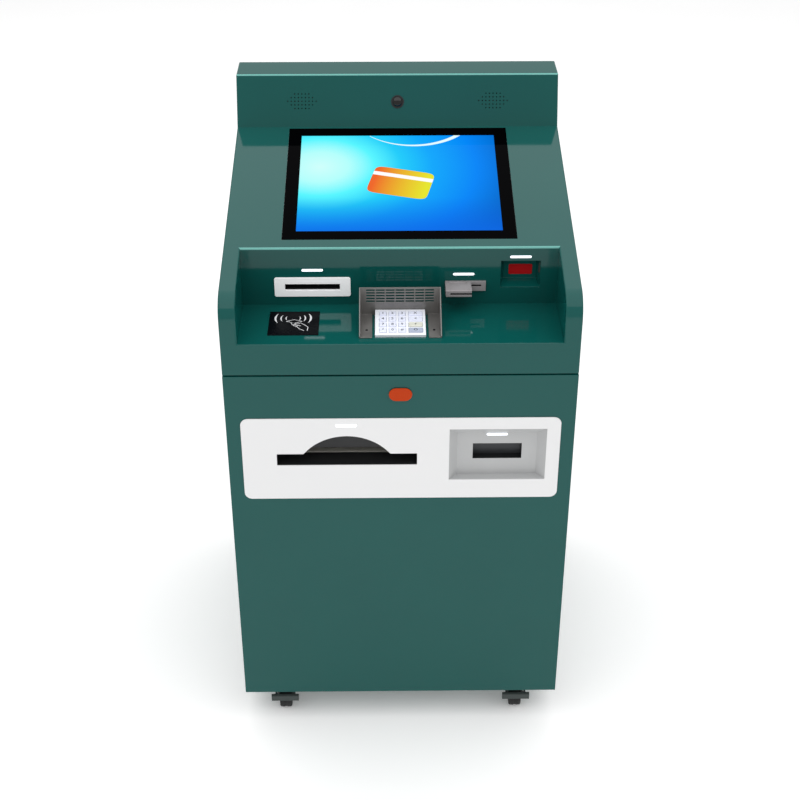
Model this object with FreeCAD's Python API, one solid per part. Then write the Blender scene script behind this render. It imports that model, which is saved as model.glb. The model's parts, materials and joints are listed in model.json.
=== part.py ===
"""Self-service bank kiosk (ATM) with a sloped touch screen, a keypad alcove and a lower front door.

Row frame: origin on the floor under the middle of the kiosk, +X to the right as the customer
stands in front, +Y to the back, +Z up. Places in this script are given as x, depth (behind the
front sheet) and height (above the cabinet's bottom); place() turns them into the row frame.
"""
import FreeCAD, Part
import math
import os

os.makedirs("parts", exist_ok=True)
V = FreeCAD.Vector

# ---- Cabinet: driving sizes, in millimetres and degrees ----
cabinet_width = 634.0
cabinet_depth = 631.0
castor_height = 72.0          # floor to the cabinet's bottom
sheet = 2.0                   # painted steel sheet
corner_height = 902.7         # where the front plane and the screen plane meet
front_round = 47.4            # bend between them
screen_slope = 12.4
screen_plane_length = 533.0   # from that corner up to the header's crease
header_slope = 69.0
header_face = 102.0           # height of the header along its own face
seam_height = 757.5           # between the front door and the console
seam_gap = 3.5

# ---- Alcove for the customer's hands ----
alcove_depth = 148.0
shelf_height = 821.0
cheek_width = 30.5

# ---- Front door ----
door_return = 21.0            # depth of the door pan
door_side_gap = 7.5           # between the pan's rim and the side panels, so the door opens past square
hinge_inset = 4.0             # hinge axis in from the cabinet's side, also the knuckle radius
leaf_length = 22.0
pin_radius = 2.5
running_gap = 0.05            # radial clearance of every pin, axle and plug
knuckle_length = 26.0
knuckle_gap = 0.5
hinge_heights = (80.0, 600.0)
lock_radius = 8.0
lock_centre = (7.6, 718.0)
lock_wall = 3.0
cover_size = (41.8, 26.6)
cover_centre = (-0.3, 718.0)
cover_pivot_inset = 5.0
cover_thickness = 2.7
cover_gap = 0.3
latch_lip = 3.5               # from the door pan to the back of the apron's latch lip
latch_drop = 18.0
keyway = (1.6, 7.0, 9.0)      # width, height and depth
pivot_radius = 2.0            # rivet that carries the lock cover
rivet_head = (3.5, 1.2)
cam_gap = 1.0
cam_length = 32.0
cam_width = 12.0
cam_thickness = 2.5

# ---- Fascia on the front door ----
fascia_size = (582.0, 177.0)
fascia_centre = (0.5, 579.0)
fascia_round = 14.0
fascia_thickness = 2.0
paper_slot = (-227.3, 30.1, 565.6, 590.5)
paper_dome_chord = 158.8
paper_dome_rise = 39.0
paper_dome_depth = 20.0
chute_depth = 40.0
chute_wall = 4.0
cash_recess = (89.1, 266.7, 531.1, 642.7)
cash_recess_depth = 16.0
cash_recess_taper = (15.5, 0.5, 18.7)   # at the sides, bottom and top
cash_slot_size = (90.0, 33.0)
cash_slot_centre = (178.4, 583.4)
cash_tunnel = 16.0
throat_wall = 3.0
shutter_thickness = 1.5
shutter_lap = 4.0
shutter_travel = 36.0
rail_size = (3.0, 2.0, 2.5)   # width, thickness and the lip that holds the shutter
shutter_gap = 0.3
light_size = (38.6, 4.7)
light_thickness = 1.0

# ---- Rear door ----
rear_return = 20.0
rear_gap = 1.5
rear_height = 939.5
rear_axis_inset = (10.0, 3.5)
rear_lock_centre = (285.0, 480.0)
rear_lock_reach = 26.0
rear_proud = 3.0
lock_flange = 4.0
rear_lip = 18.0
rear_lip_gap = 4.0            # from the rear door's rim to the lip that it closes on
rear_block = (14.0, 16.0)     # width and height of the rear door's two hinge blocks
rear_pin_length = 14.0
vent_heights = (150.0, 820.0)
vent_columns = (-130.0, 0.0, 130.0)
vent_slot = (100.0, 5.0)
vent_rows = 8
vent_pitch = 12.0

# ---- Screen, camera and speakers ----
glass_size = (426.4, 351.0)
glass_middle = 351.7          # up the screen plane from the front corner
glass_thickness = 4.0
glass_proud = 0.5
fit_gap = 0.4
seat_gap = 0.05               # glued or screwed seat on a sloping face
display_size = (376.3, 301.1)
chassis_depth = (3.0, 24.0, 42.0)   # its front flange, its box and its electronics cover
chassis_spread = (10.0, 8.0)
board_inset = (50.0, 40.0)
ear_size = (10.0, 120.0)
flange_lap = (8.0, 4.0)
camera_up = 48.3
camera_radius = 11.5
camera_depth = 22.0
camera_rim = 1.2
dome_radius = 14.0
camera_board = (38.0, 30.0, 8.0)
speaker_offset = 188.5
speaker_up = 50.0
speaker_frame = (76.0, 52.0, 5.0)
speaker_hollow = (62.0, 44.0, 3.0)
speaker_magnet = (17.0, 16.0)
grille_pitch = 7.0
grille_reach = (29.0, 18.0)
grille_hole = 1.3

# ---- Devices in the alcove ----
device_lap = 4.0              # how far a bezel covers the sheet round its hole
collar_gap = 1.0
receipt_centre = (-158.9, 857.8)
receipt_size = (138.6, 38.6)
receipt_round = 4.0
receipt_slot = (100.0, 12.4)
receipt_proud = 3.0
roll_radius = 32.0
roll_width = 79.0
spindle_radius = 6.0
roll_behind = 130.0           # from the alcove wall to the spindle
roll_above = 7.2              # from the receipt slot's middle up to the spindle
roll_side_gap = 1.0
printer_head = (66.0, 66.0, 25.0)   # half width, depth, and height over the slot
printer_throat = 30.0
printer_overlap = (6.0, 8.0)  # its base under the head, and beyond the roll
printer_base = (46.0, 3.0)    # half width and thickness
roll_clearance = 7.0
spindle_arm = (4.0, 12.0)     # thickness, and reach round the spindle
card_span = (82.5, 156.5)
card_heights = (850.0, 868.5)
card_nose = 47.0
card_nose_reach = 39.0
card_nose_rise = 5.0          # the nose's tip is cut back this much from below
card_base_reach = 6.0
card_neck = 8.0
card_body = (6.0, 12.0, 150.0)   # its spread beside and over the bezel, and its depth
card_travel = 90.0
card_slot = (91.0, 148.0, 3.0)
card_slot_height = 861.4
scallop = (15.0, 1.0)         # radius and depth of the finger hollow on the nose
scanner_recess = (183.0, 255.5, 853.0, 908.0)
scanner_depth = 22.0
scanner_taper = (6.5, 9.6, 2.0)   # at the sides, bottom and top
scanner_wall = (4.0, 3.0)     # at its sides, and everywhere else
scanner_engine = (8.0, 6.0, 38.0, 40.0)   # inset at its sides, bottom, top and depth
scanner_window = (43.0, 20.7)
window_offset = 1.5
window_round = 2.5
scanner_window_height = 880.0
pad_centre = (-190.6, 76.0)
pad_size = (90.6, 86.0)
pad_thickness = 12.0
pad_proud = 1.5
pad_chamfer = 0.8
pad_lap = 3.0                 # how far the pad covers the shelf round its hole
pad_inset = 3.5
light_places = ((-158.4, 891.2), (116.1, 881.8), (218.6, 916.1))
door_light_places = ((-99.0, 652.5), (177.3, 620.5))

# ---- PIN pad and its guard ----
plate_size = (90.0, 79.4)
plate_front = 25.6            # depth of the plate's front edge
plate_rise = (4.0, 12.0)      # height over the shelf, at its front and rear edges
plate_thickness = 8.0
body_depth = 34.0
body_inset = 4.0
flange_size = (110.0, 95.4, 2.5)   # fixing flange under the shelf
key_size = 12.6
key_wide = 24.8
key_pitch = 17.2
key_columns = (-31.0, -13.9, 3.2)
wide_column = 27.3
key_rows = 4
key_proud = 2.0
key_travel = 1.5
key_depth = 3.5
key_gap = 0.35
key_chamfer = 0.6
guard_half = 73.2
guard_rear = 106.0
guard_front = 21.0
guard_height = 56.0
guard_tip = 4.0               # height of the side walls at their front
guard_sheet = 2.0
guard_leg = 23.0
guard_columns = 7
guard_rows = 5
guard_slot = (15.6, 3.0)
guard_slot_pitch = (17.7, 5.6)
guard_slot_top = 50.5

# ---- Castors ----
wheel_radius = 25.0
wheel_width = 24.0
axle_radius = 4.0
castor_x = 238.0
front_castor_depth = 68.0
rear_castor_depth = 571.0
castor_trail = 25.0
castor_plate = 60.0
plate_sheet = 3.0
disc_radius = 21.6            # turntable disc on top of a swivelling fork
disc_heights = (59.0, 66.0)
race_radius = 19.8
race_gap = 0.4
kingpin_radius = 5.0
kingpin_low = 57.0
kingpin_head = (9.0, 2.6, 56.0)    # radius, thickness and height over the floor
fork_top = 62.0
fork_gap = 2.0                # between the tyre and a cheek
fork_lobe = (8.0, 7.0, 6.0)   # reach round the axle, drop below it, and rounding
fork_shoulder = (10.0, 11.0, 9.0)
hub_radius = 9.0
tyre_round = 3.0
axle_end = 2.0
pedal_pin = (2.5, 3.0)        # radius and length
pedal_arm = 3.0
pedal_tread = 6.0
cheek_thickness = 3.0
hub_gap = 0.3
pedal_width = 56.0
pedal_reach = 30.0            # from the pivot to the front of the tread plate
pedal_drop = 16.0
pedal_pivot = (-3.0, 54.0)    # from the wheel's axle, and above the floor

# ---- Equipment inside ----
rack_x = (-296.0, 80.0)
rack_depth = (60.0, 520.0)
rack_tube = 20.0
rack_shelves = (200.0, 386.0)
printer_size = (340.0, 370.0, 222.0)
printer_front = 60.0
printer_round = 8.0
outlet_depth = 120.0
guide_spread = (4.0, 3.0)     # sideways, and thickness
paper_tray = (120.0, 6.0, 66.0)    # half width, and its heights over the printer's base
paper_grip = (40.0, 28.0, 40.0)
dispenser_x = (88.0, 268.0)
dispenser_depth = (60.0, 480.0)
dispenser_plate = 3.0
cassette_count = 3
cassette_height = 132.0
cassette_pitch = 150.0
cassette_side_gap = 4.0
cassette_round = 5.0
cassette_insets = (4.0, 30.0)      # behind the dispenser's front, and before its rear
cassette_grip = (45.0, 16.0, 88.0, 112.0)   # half width, depth, and heights over its base
runner = (14.0, 2.0)
runner_low = 8.0
dispenser_head = 170.0
dispenser_spare = 12.0
nose_wall = 4.0
nose_reach = 14.0
note_path = 60.0
anchor_hole = 6.5
anchor_spacing = (360.0, 510.0)
anchor_middle = 305.0
computer_box = (-262.0, -62.0, 120.0, 420.0, 88.0)   # x range, depth range and height
computer_vents = (7, 36.0, 12.0, 22.0, 30.0)   # count, pitch, width, inset beside and before
supply_box = (-40.0, 46.0, 130.0, 330.0, 60.0)
inlet_size = (30.0, 8.0, 24.0)
inlet_place = (-7.0, 12.0)
cable_radius = 12.0
cable_place = (-60.0, 570.0)
cable_collar = 12.0
tray_wall = 40.0
tray_rear_gap = 8.0

# ---- Worked out from the sizes above ----
half = cabinet_width / 2
inner_half = half - sheet
front = -cabinet_depth / 2
slope = math.radians(screen_slope)
lean = math.radians(header_slope)
crease = (screen_plane_length * math.cos(slope),
          corner_height + screen_plane_length * math.sin(slope))
header_top = (crease[0] + header_face * math.cos(lean), crease[1] + header_face * math.sin(lean))
door_top = seam_height - seam_gap / 2
console_bottom = seam_height + seam_gap / 2
alcove_half = half - cheek_width
alcove_up = alcove_depth / math.cos(slope)
side_front = door_return + door_side_gap
hinge_depth = door_return + 1.0
rear_face = cabinet_depth
plate_tilt = math.degrees(math.atan2(plate_rise[1] - plate_rise[0], plate_size[1]))


# ---- Small building blocks ----
def place(x, depth, height):
    return V(x, front + depth, castor_height + height)


def block(x, depth, height):
    """Box between two x values, two depths and two heights."""
    size = (x[1] - x[0], depth[1] - depth[0], height[1] - height[0])
    return Part.makeBox(*size, place(x[0], depth[0], height[0]))


def rod(radius, length, start, direction):
    return Part.makeCylinder(radius, length, start, direction)


def tube(outer, inner, length, start, direction):
    return rod(outer, length, start, direction).cut(rod(inner, length, start, direction))


def join(shapes):
    shapes = list(shapes)
    joined = shapes[0].multiFuse(shapes[1:]) if len(shapes) > 1 else shapes[0]
    return joined.removeSplitter()


def outline(points, rounds):
    """Closed wire through 3-D points, where rounds gives a radius for some of the corners."""
    edges = []
    ends = []
    for i, corner in enumerate(points):
        start = end = corner
        if i in rounds:
            before = (points[i - 1] - corner).normalize()
            after = (points[(i + 1) % len(points)] - corner).normalize()
            half_angle = before.getAngle(after) / 2
            reach = rounds[i] / math.tan(half_angle)
            start = corner + before * reach
            end = corner + after * reach
            centre = corner + (before + after).normalize() * (rounds[i] / math.sin(half_angle))
            middle = centre + (corner - centre).normalize() * rounds[i]
            edges.append(Part.Arc(start, middle, end).toShape())
        ends.append((start, end))
    for i, (_, end) in enumerate(ends):
        following = ends[(i + 1) % len(ends)][0]
        if end.distanceToPoint(following) > 1e-6:
            edges.append(Part.LineSegment(end, following).toShape())
    return Part.Wire(Part.__sortEdges__(edges))


def side_profile(points, x, rounds=None):
    """Prism whose section is drawn in the depth-height plane, between two x values."""
    wire = outline([place(x[0], d, h) for d, h in points], rounds or {})
    return Part.Face(wire).extrude(V(x[1] - x[0], 0, 0))


def centred(middle, size, height):
    """Box over a middle point given as x and depth."""
    x, depth = middle
    return block((x - size[0] / 2, x + size[0] / 2), (depth - size[1] / 2, depth + size[1] / 2), height)


def front_plate(centre, size, depth, radius=0.0):
    """Upright plate facing the customer, with rounded corners."""
    x, h = centre
    w, t = size[0] / 2, size[1] / 2
    corners = [place(x + a * w, depth[0], h + b * t) for a, b in ((-1, -1), (1, -1), (1, 1), (-1, 1))]
    rounds = {i: radius for i in range(4)} if radius else {}
    return Part.Face(outline(corners, rounds)).extrude(V(0, depth[1] - depth[0], 0))


def tapered_pocket(opening, depth, inset_side, inset_bottom, inset_top):
    """Pocket that narrows from a rectangle at depth[0] to a smaller one at depth[1]."""
    x0, x1, h0, h1 = opening
    mouth = [place(x, depth[0], h) for x, h in ((x0, h0), (x1, h0), (x1, h1), (x0, h1))]
    x0, x1, h0, h1 = x0 + inset_side, x1 - inset_side, h0 + inset_bottom, h1 - inset_top
    back = [place(x, depth[1], h) for x, h in ((x0, h0), (x1, h0), (x1, h1), (x0, h1))]
    return Part.makeLoft([outline(mouth, {}), outline(back, {})], True, True)


def tilt(shape, angle, depth, height):
    """Lay a shape, built flat with +Y up the slope and +Z outwards, on a sloping plane."""
    shape = shape.copy()
    shape.rotate(V(0, 0, 0), V(1, 0, 0), angle)
    shape.translate(place(0, depth, height))
    return shape


def on_screen_plane(shape):
    return tilt(shape, screen_slope, 0, corner_height)


def on_header(shape):
    return tilt(shape, header_slope, *crease)


def flat_box(x, up, out):
    """Box for tilt(): x range, distance up the slope and distance out of it."""
    return Part.makeBox(x[1] - x[0], up[1] - up[0], out[1] - out[0], V(x[0], up[0], out[0]))


def screen_height(depth, below=0.0):
    """Height of the screen plane at a depth, or of a surface parallel to it and below it."""
    return corner_height + depth * math.tan(slope) - below / math.cos(slope)


def save(name, shape):
    if not shape.isValid():
        raise ValueError(name + " is not a valid shape")
    shape.exportStep("parts/" + name + ".step")


# ---- Base tray: floor of the cabinet, with anchor holes and a cable entry ----
def base_tray():
    wall = tray_wall
    rear_wall = rear_face - rear_return - tray_rear_gap
    pieces = [block((-inner_half, inner_half), (side_front, rear_face), (0, sheet)),
              block((-inner_half, inner_half), (side_front, side_front + sheet), (sheet, wall)),
              block((-inner_half, inner_half), (rear_wall - sheet, rear_wall), (sheet, wall))]
    for side in (-1, 1):
        edge = sorted((side * inner_half, side * (inner_half - sheet)))
        pieces.append(block(edge, (side_front + sheet, rear_wall - sheet), (sheet, wall)))
    x, depth = cable_place
    pieces.append(rod(cable_radius + sheet, cable_collar, place(x, depth, 0), V(0, 0, 1)))
    tray = join(pieces)
    tray = tray.cut(rod(cable_radius, 3 * cable_collar, place(x, depth, -cable_collar), V(0, 0, 1)))
    for a in (-1, 1):
        for b in (-1, 1):
            at = place(a * anchor_spacing[0] / 2, anchor_middle + b * anchor_spacing[1] / 2, -10)
            tray = tray.cut(rod(anchor_hole, 10 * sheet, at, V(0, 0, 1)))
    return tray


# ---- Side panels, each with its cheek beside the alcove and a lip for the rear door ----
def knuckle_spans(fixed):
    """Height ranges of the hinge knuckles that belong to the cabinet or to the door."""
    spans = []
    step = knuckle_length + knuckle_gap
    for base in hinge_heights:
        for i in range(3):
            if (i != 1) == fixed:
                spans.append((base + i * step, base + i * step + knuckle_length))
    return spans


def knuckle(span, bore):
    at = place(-half + hinge_inset, hinge_depth, span[0])
    return tube(hinge_inset, bore, span[1] - span[0], at, V(0, 0, 1))


def side_panel(side):
    skin_points = [(side_front, 0), (side_front, console_bottom), (0, console_bottom),
                   (0, corner_height), crease, header_top, (rear_face, header_top[1]), (rear_face, 0)]
    skin = side_profile(skin_points, sorted((side * inner_half, side * half)), {3: front_round})
    low = shelf_height - sheet
    inner_round = front_round - sheet
    strip_points = [(0, low), (0, corner_height), (alcove_depth, screen_height(alcove_depth)),
                    (alcove_depth, screen_height(alcove_depth, sheet)),
                    (sheet, screen_height(sheet, sheet)), (sheet, low)]
    strip = side_profile(strip_points, sorted((side * alcove_half, side * inner_half)),
                         {1: front_round, 4: inner_round})
    wall_points = [(sheet, low), (sheet, screen_height(sheet, sheet)),
                   (alcove_depth + sheet, screen_height(alcove_depth + sheet, sheet)),
                   (alcove_depth + sheet, low)]
    wall = side_profile(wall_points, sorted((side * alcove_half, side * (alcove_half + sheet))),
                        {1: inner_round})
    lip_rear = rear_face - rear_return - rear_lip_gap
    lip = block(sorted((side * inner_half, side * (inner_half - rear_lip))),
                (lip_rear - sheet, lip_rear), (sheet, rear_height))
    pieces = [skin, strip, wall, lip]
    if side < 0:
        for span in knuckle_spans(True):
            leaf = block((-inner_half, -inner_half + sheet), (hinge_depth, hinge_depth + leaf_length), span)
            pieces.append(leaf)
            pieces.append(rod(hinge_inset, span[1] - span[0],
                              place(-half + hinge_inset, hinge_depth, span[0]), V(0, 0, 1)))
    panel = join(pieces)
    if side < 0:
        for span in knuckle_spans(True):
            at = place(-half + hinge_inset, hinge_depth, span[0])
            panel = panel.cut(rod(pin_radius, span[1] - span[0], at, V(0, 0, 1)))
    return panel


# ---- Console: apron, alcove shelf and alcove wall, bent from one sheet ----
def console_liner():
    apron = block((-inner_half, inner_half), (0, sheet), (console_bottom, shelf_height - sheet))
    lip_rear = door_return + latch_lip
    flange = block((-alcove_half, alcove_half), (sheet, lip_rear), (console_bottom, console_bottom + sheet))
    lip = block((-alcove_half, alcove_half), (lip_rear - sheet, lip_rear),
                (console_bottom - latch_drop, console_bottom))
    shelf = block((-alcove_half, alcove_half), (0, alcove_depth + sheet),
                  (shelf_height - sheet, shelf_height))
    wall = block((-alcove_half, alcove_half), (alcove_depth, alcove_depth + sheet),
                 (shelf_height, screen_height(alcove_depth, sheet)))
    liner = join([apron, flange, lip, shelf, wall])
    through = (alcove_depth - 2 * sheet, alcove_depth + 2 * sheet)
    lap = 2 * device_lap
    cuts = [front_plate(receipt_centre, (receipt_size[0] - lap, receipt_size[1] - lap), through)]
    card_middle = (sum(card_span) / 2, sum(card_heights) / 2)
    cuts.append(front_plate(card_middle, (card_span[1] - card_span[0] - lap, card_neck + sheet), through))
    x0, x1, h0, h1 = scanner_recess
    cuts.append(block((x0, x1), through, (h0, h1)))
    level = (shelf_height - 2 * sheet, shelf_height + 2 * sheet)
    cuts.append(centred(pad_centre, (pad_size[0] - 2 * pad_lap, pad_size[1] - 2 * pad_lap), level))
    pad_middle = (0.0, plate_front + plate_size[1] / 2)
    cuts.append(centred(pad_middle, (plate_size[0] + 2 * fit_gap, plate_size[1] + 4 * fit_gap), level))
    for cut in cuts:
        liner = liner.cut(cut)
    return liner


# ---- Screen panel and header ----
def screen_panel():
    panel = flat_box((-inner_half, inner_half), (alcove_up, screen_plane_length), (-sheet, 0))
    w = glass_size[0] / 2 + fit_gap
    t = glass_size[1] / 2 + fit_gap
    opening = flat_box((-w, w), (glass_middle - t, glass_middle + t), (-10, 10))
    return on_screen_plane(panel.cut(opening))


def grille_places():
    """Hole centres of one speaker grille, kept inside an ellipse."""
    spots = []
    columns = int(grille_reach[0] // grille_pitch)
    rows = int(grille_reach[1] // grille_pitch)
    for i in range(-columns, columns + 1):
        for j in range(-rows, rows + 1):
            x, y = i * grille_pitch, j * grille_pitch
            if (x / grille_reach[0]) ** 2 + (y / grille_reach[1]) ** 2 <= 1.0:
                spots.append((x, y))
    return spots


def header_shell():
    face = flat_box((-inner_half, inner_half), (0, header_face), (-sheet, 0))
    holes = [rod(camera_radius + fit_gap, 20, V(0, camera_up, -10), V(0, 0, 1))]
    for side in (-1, 1):
        for x, y in grille_places():
            at = V(side * speaker_offset + x, speaker_up + y, -10)
            holes.append(rod(grille_hole, 20, at, V(0, 0, 1)))
    face = on_header(face.cut(Part.makeCompound(holes)))
    width = (-inner_half, inner_half)
    top = block(width, (header_top[0], rear_face), (header_top[1] - sheet, header_top[1]))
    bottom = rear_height + rear_gap
    skirt = block(width, (rear_face - sheet, rear_face), (bottom, header_top[1] - sheet))
    flange = block(width, (rear_face - rear_return, rear_face - sheet), (bottom, bottom + sheet))
    return join([face, top, skirt, flange])


# ---- Touch monitor: glass with its border, and the open-frame chassis behind it ----
def monitor_glass():
    w, t = glass_size[0] / 2, glass_size[1] / 2
    glass = flat_box((-w, w), (glass_middle - t, glass_middle + t),
                     (glass_proud - glass_thickness, glass_proud))
    return on_screen_plane(glass)


def monitor_body():
    top = glass_proud - glass_thickness - seat_gap
    flange_depth, box_depth, cover_depth = chassis_depth
    flange_reach = glass_size[0] / 2 + flange_lap[0]
    w, t = flange_reach, glass_size[1] / 2 - flange_lap[1]
    flange = flat_box((-w, w), (glass_middle - t, glass_middle + t), (top - flange_depth, top))
    w, t = display_size[0] / 2 + chassis_spread[0], display_size[1] / 2 + chassis_spread[1]
    chassis = flat_box((-w, w), (glass_middle - t, glass_middle + t), (top - box_depth, top - flange_depth))
    w, t = w - board_inset[0], t - board_inset[1]
    board = flat_box((-w, w), (glass_middle - t, glass_middle + t), (top - cover_depth, top - box_depth))
    ears = []
    for side in (-1, 1):
        outer = sorted((side * flange_reach, side * (flange_reach + ear_size[0])))
        ears.append(flat_box(outer, (glass_middle - ear_size[1], glass_middle + ear_size[1]),
                             (-3 * sheet, -sheet - seat_gap)))
    return on_screen_plane(join([flange, chassis, board] + ears))


def camera():
    barrel = rod(camera_radius, camera_depth, V(0, camera_up, -camera_depth), V(0, 0, 1))
    rim = rod(camera_radius + camera_rim, camera_rim, V(0, camera_up, 0), V(0, 0, 1))
    ball = Part.makeSphere(dome_radius, V(0, camera_up, -0.7 * dome_radius))
    dome = ball.common(rod(camera_radius - 1.5, camera_radius, V(0, camera_up, 0), V(0, 0, 1)))
    w, t = camera_board[0] / 2, camera_board[1] / 2
    board = flat_box((-w, w), (camera_up - t, camera_up + t),
                     (-camera_depth - camera_board[2], -camera_depth))
    return on_header(join([barrel, rim, dome, board]))


def speakers():
    both = []
    for side in (-1, 1):
        x = side * speaker_offset
        w, t, thick = speaker_frame[0] / 2, speaker_frame[1] / 2, speaker_frame[2]
        frame = flat_box((x - w, x + w), (speaker_up - t, speaker_up + t), (-sheet - thick, -sheet))
        w, t = speaker_hollow[0] / 2, speaker_hollow[1] / 2
        frame = frame.cut(flat_box((x - w, x + w), (speaker_up - t, speaker_up + t),
                                   (-sheet - speaker_hollow[2], -sheet)))
        radius, height = speaker_magnet
        magnet = rod(radius, height, V(x, speaker_up, -sheet - thick - height), V(0, 0, 1))
        both.append(join([frame, magnet]))
    return on_header(Part.makeCompound(both))


# ---- Receipt printer behind the alcove wall ----
def receipt_bezel():
    depth = (alcove_depth - receipt_proud, alcove_depth)
    plate = front_plate(receipt_centre, receipt_size, depth, receipt_round)
    inset = 2 * (device_lap + collar_gap)
    collar = front_plate(receipt_centre, (receipt_size[0] - inset, receipt_size[1] - inset),
                         (alcove_depth, alcove_depth + sheet))
    slot = front_plate(receipt_centre, receipt_slot, (alcove_depth - 10.0, alcove_depth + 10.0))
    return join([plate, collar]).cut(slot)


def roll_middle():
    """Depth and height of the paper roll's spindle."""
    return alcove_depth + roll_behind, receipt_centre[1] + roll_above


def receipt_printer():
    x, h = receipt_centre
    back = alcove_depth + sheet
    depth, height = roll_middle()
    floor = height - roll_radius - roll_clearance
    w, deep, over = printer_head
    head = block((x - w, x + w), (back, back + deep), (floor, h + over))
    slot = front_plate(receipt_centre, receipt_slot, (back, back + printer_throat))
    w, thick = printer_base
    near, far = back + deep - printer_overlap[0], depth + roll_radius + printer_overlap[1]
    base = block((x - w, x + w), (near, far), (floor, floor + thick))
    pieces = [head, base]
    thick, reach = spindle_arm
    for side in (-1, 1):
        inner = side * (roll_width / 2 + roll_side_gap)
        arm = block(sorted((x + inner, x + inner + side * thick)), (depth - reach, depth + reach),
                    (floor, height + reach))
        pieces.append(arm)
    length = roll_width + 2 * (roll_side_gap + thick)
    pieces.append(rod(spindle_radius, length, place(x - length / 2, depth, height), V(1, 0, 0)))
    return join(pieces).cut(slot)


def paper_roll():
    depth, height = roll_middle()
    at = place(receipt_centre[0] - roll_width / 2, depth, height)
    return tube(roll_radius, spindle_radius + running_gap, roll_width, at, V(1, 0, 0))


# ---- Card reader, code scanner and contactless pad ----
def card_reader():
    x0, x1 = card_span
    h0, h1 = card_heights
    base = block((x0, x1), (alcove_depth - card_base_reach, alcove_depth), (h0, h1))
    face, tip = alcove_depth - card_base_reach, alcove_depth - card_nose_reach
    nose_points = [(face, h0), (face, h1), (tip, h1), (tip, h0 + card_nose_rise)]
    nose = side_profile(nose_points, (x0, x0 + card_nose), {2: 2.0, 3: 2.0})
    inset, middle = device_lap + collar_gap, (h0 + h1) / 2
    neck = block((x0 + inset, x1 - inset), (alcove_depth, alcove_depth + sheet),
                 (middle - card_neck / 2, middle + card_neck / 2))
    spread, rise, deep = card_body
    body = block((x0 - spread, x1 + spread), (alcove_depth + sheet, alcove_depth + deep),
                 (h0 - rise, h1 + rise))
    reader = join([base, nose, neck, body])
    s0, s1, thick = card_slot
    slot = block((s0, s1), (tip - card_base_reach, alcove_depth + card_travel),
                 (card_slot_height - thick / 2, card_slot_height + thick / 2))
    radius, low = scallop[0], h1 - scallop[1]
    hollow = rod(radius, 2 * scallop[1], place(x0 + card_nose / 2, face, low), V(0, 0, 1))
    hollow = hollow.common(block((x0, x0 + card_nose), (0, face), (low, h1)))
    return reader.cut(slot).cut(hollow)


def scanner_housing():
    x0, x1, h0, h1 = scanner_recess
    back = alcove_depth + scanner_depth
    side, wall = scanner_wall
    case = block((x0 - side, x1 + side), (alcove_depth + sheet, back + wall), (h0 - wall, h1 + wall))
    pocket = tapered_pocket(scanner_recess, (alcove_depth, back), *scanner_taper)
    middle = ((x0 + x1) / 2 + window_offset, scanner_window_height)
    window_hole = front_plate(middle, scanner_window, (back - 1, back + wall), window_round)
    inset, low, high, deep = scanner_engine
    engine = block((x0 + inset, x1 - inset), (back + wall, back + deep), (h0 + low, h0 + high))
    window = front_plate(middle, scanner_window, (back + 0.5, back + wall), window_round)
    case = join([case, engine]).cut(pocket).cut(window_hole)
    return Part.makeCompound([case, window])


def contactless_pad():
    lid = centred(pad_centre, pad_size, (shelf_height, shelf_height + pad_proud))
    over = castor_height + shelf_height + pad_proud / 2
    lid = lid.makeChamfer(pad_chamfer, [e for e in lid.Edges if e.BoundBox.ZMin > over])
    body = centred(pad_centre, (pad_size[0] - 2 * pad_inset, pad_size[1] - 2 * pad_inset),
                   (shelf_height - pad_thickness, shelf_height))
    return join([lid, body])


# ---- PIN pad: tilted plate, its keys, and the privacy guard ----
def on_plate(shape):
    """Lay a shape on the tilted plate: +Y up the plate from its front edge, +Z out of it."""
    return tilt(shape, plate_tilt, plate_front, shelf_height + plate_rise[0])


def key_places():
    """Name, middle x, middle distance up the plate, and width of every key."""
    names = (("1", "2", "3", "cancel"), ("4", "5", "6", "clear"),
             ("7", "8", "9", "help"), ("left", "0", "right", "enter"))
    spots = []
    for row in range(key_rows):
        up = plate_size[1] / 2 + ((key_rows - 1) / 2 - row) * key_pitch
        for column, x in enumerate(key_columns):
            spots.append(("key_" + names[row][column], x, up, key_size))
        spots.append(("key_" + names[row][3], wide_column, up, key_wide))
    return spots


def pin_pad():
    w = plate_size[0] / 2
    plate = flat_box((-w, w), (0, plate_size[1]), (-plate_thickness, 0))
    for _, x, up, width in key_places():
        a, b = width / 2 + key_gap, key_size / 2 + key_gap
        depth = key_depth + key_travel + key_gap
        plate = plate.cut(flat_box((x - a, x + a), (up - b, up + b), (-depth, 0)))
    inset = body_inset
    body = flat_box((-w + inset, w - inset), (inset, plate_size[1] - inset), (-body_depth, -plate_thickness))
    pad_middle = (0.0, plate_front + plate_size[1] / 2)
    wide, deep, thick = flange_size
    flange = centred(pad_middle, (wide, deep),
                     (shelf_height - sheet - thick, shelf_height - sheet))
    return join([on_plate(join([plate, body])), flange]).cut(
        on_plate(flat_box((-w, w), (0, plate_size[1]), (0, 20))))


def key_cap(x, up, width):
    a, b = width / 2, key_size / 2
    cap = flat_box((x - a, x + a), (up - b, up + b), (-key_depth, key_proud))
    top = [e for e in cap.Edges if e.BoundBox.ZMin > key_proud - 0.01]
    return on_plate(cap.makeChamfer(key_chamfer, top))


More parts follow.
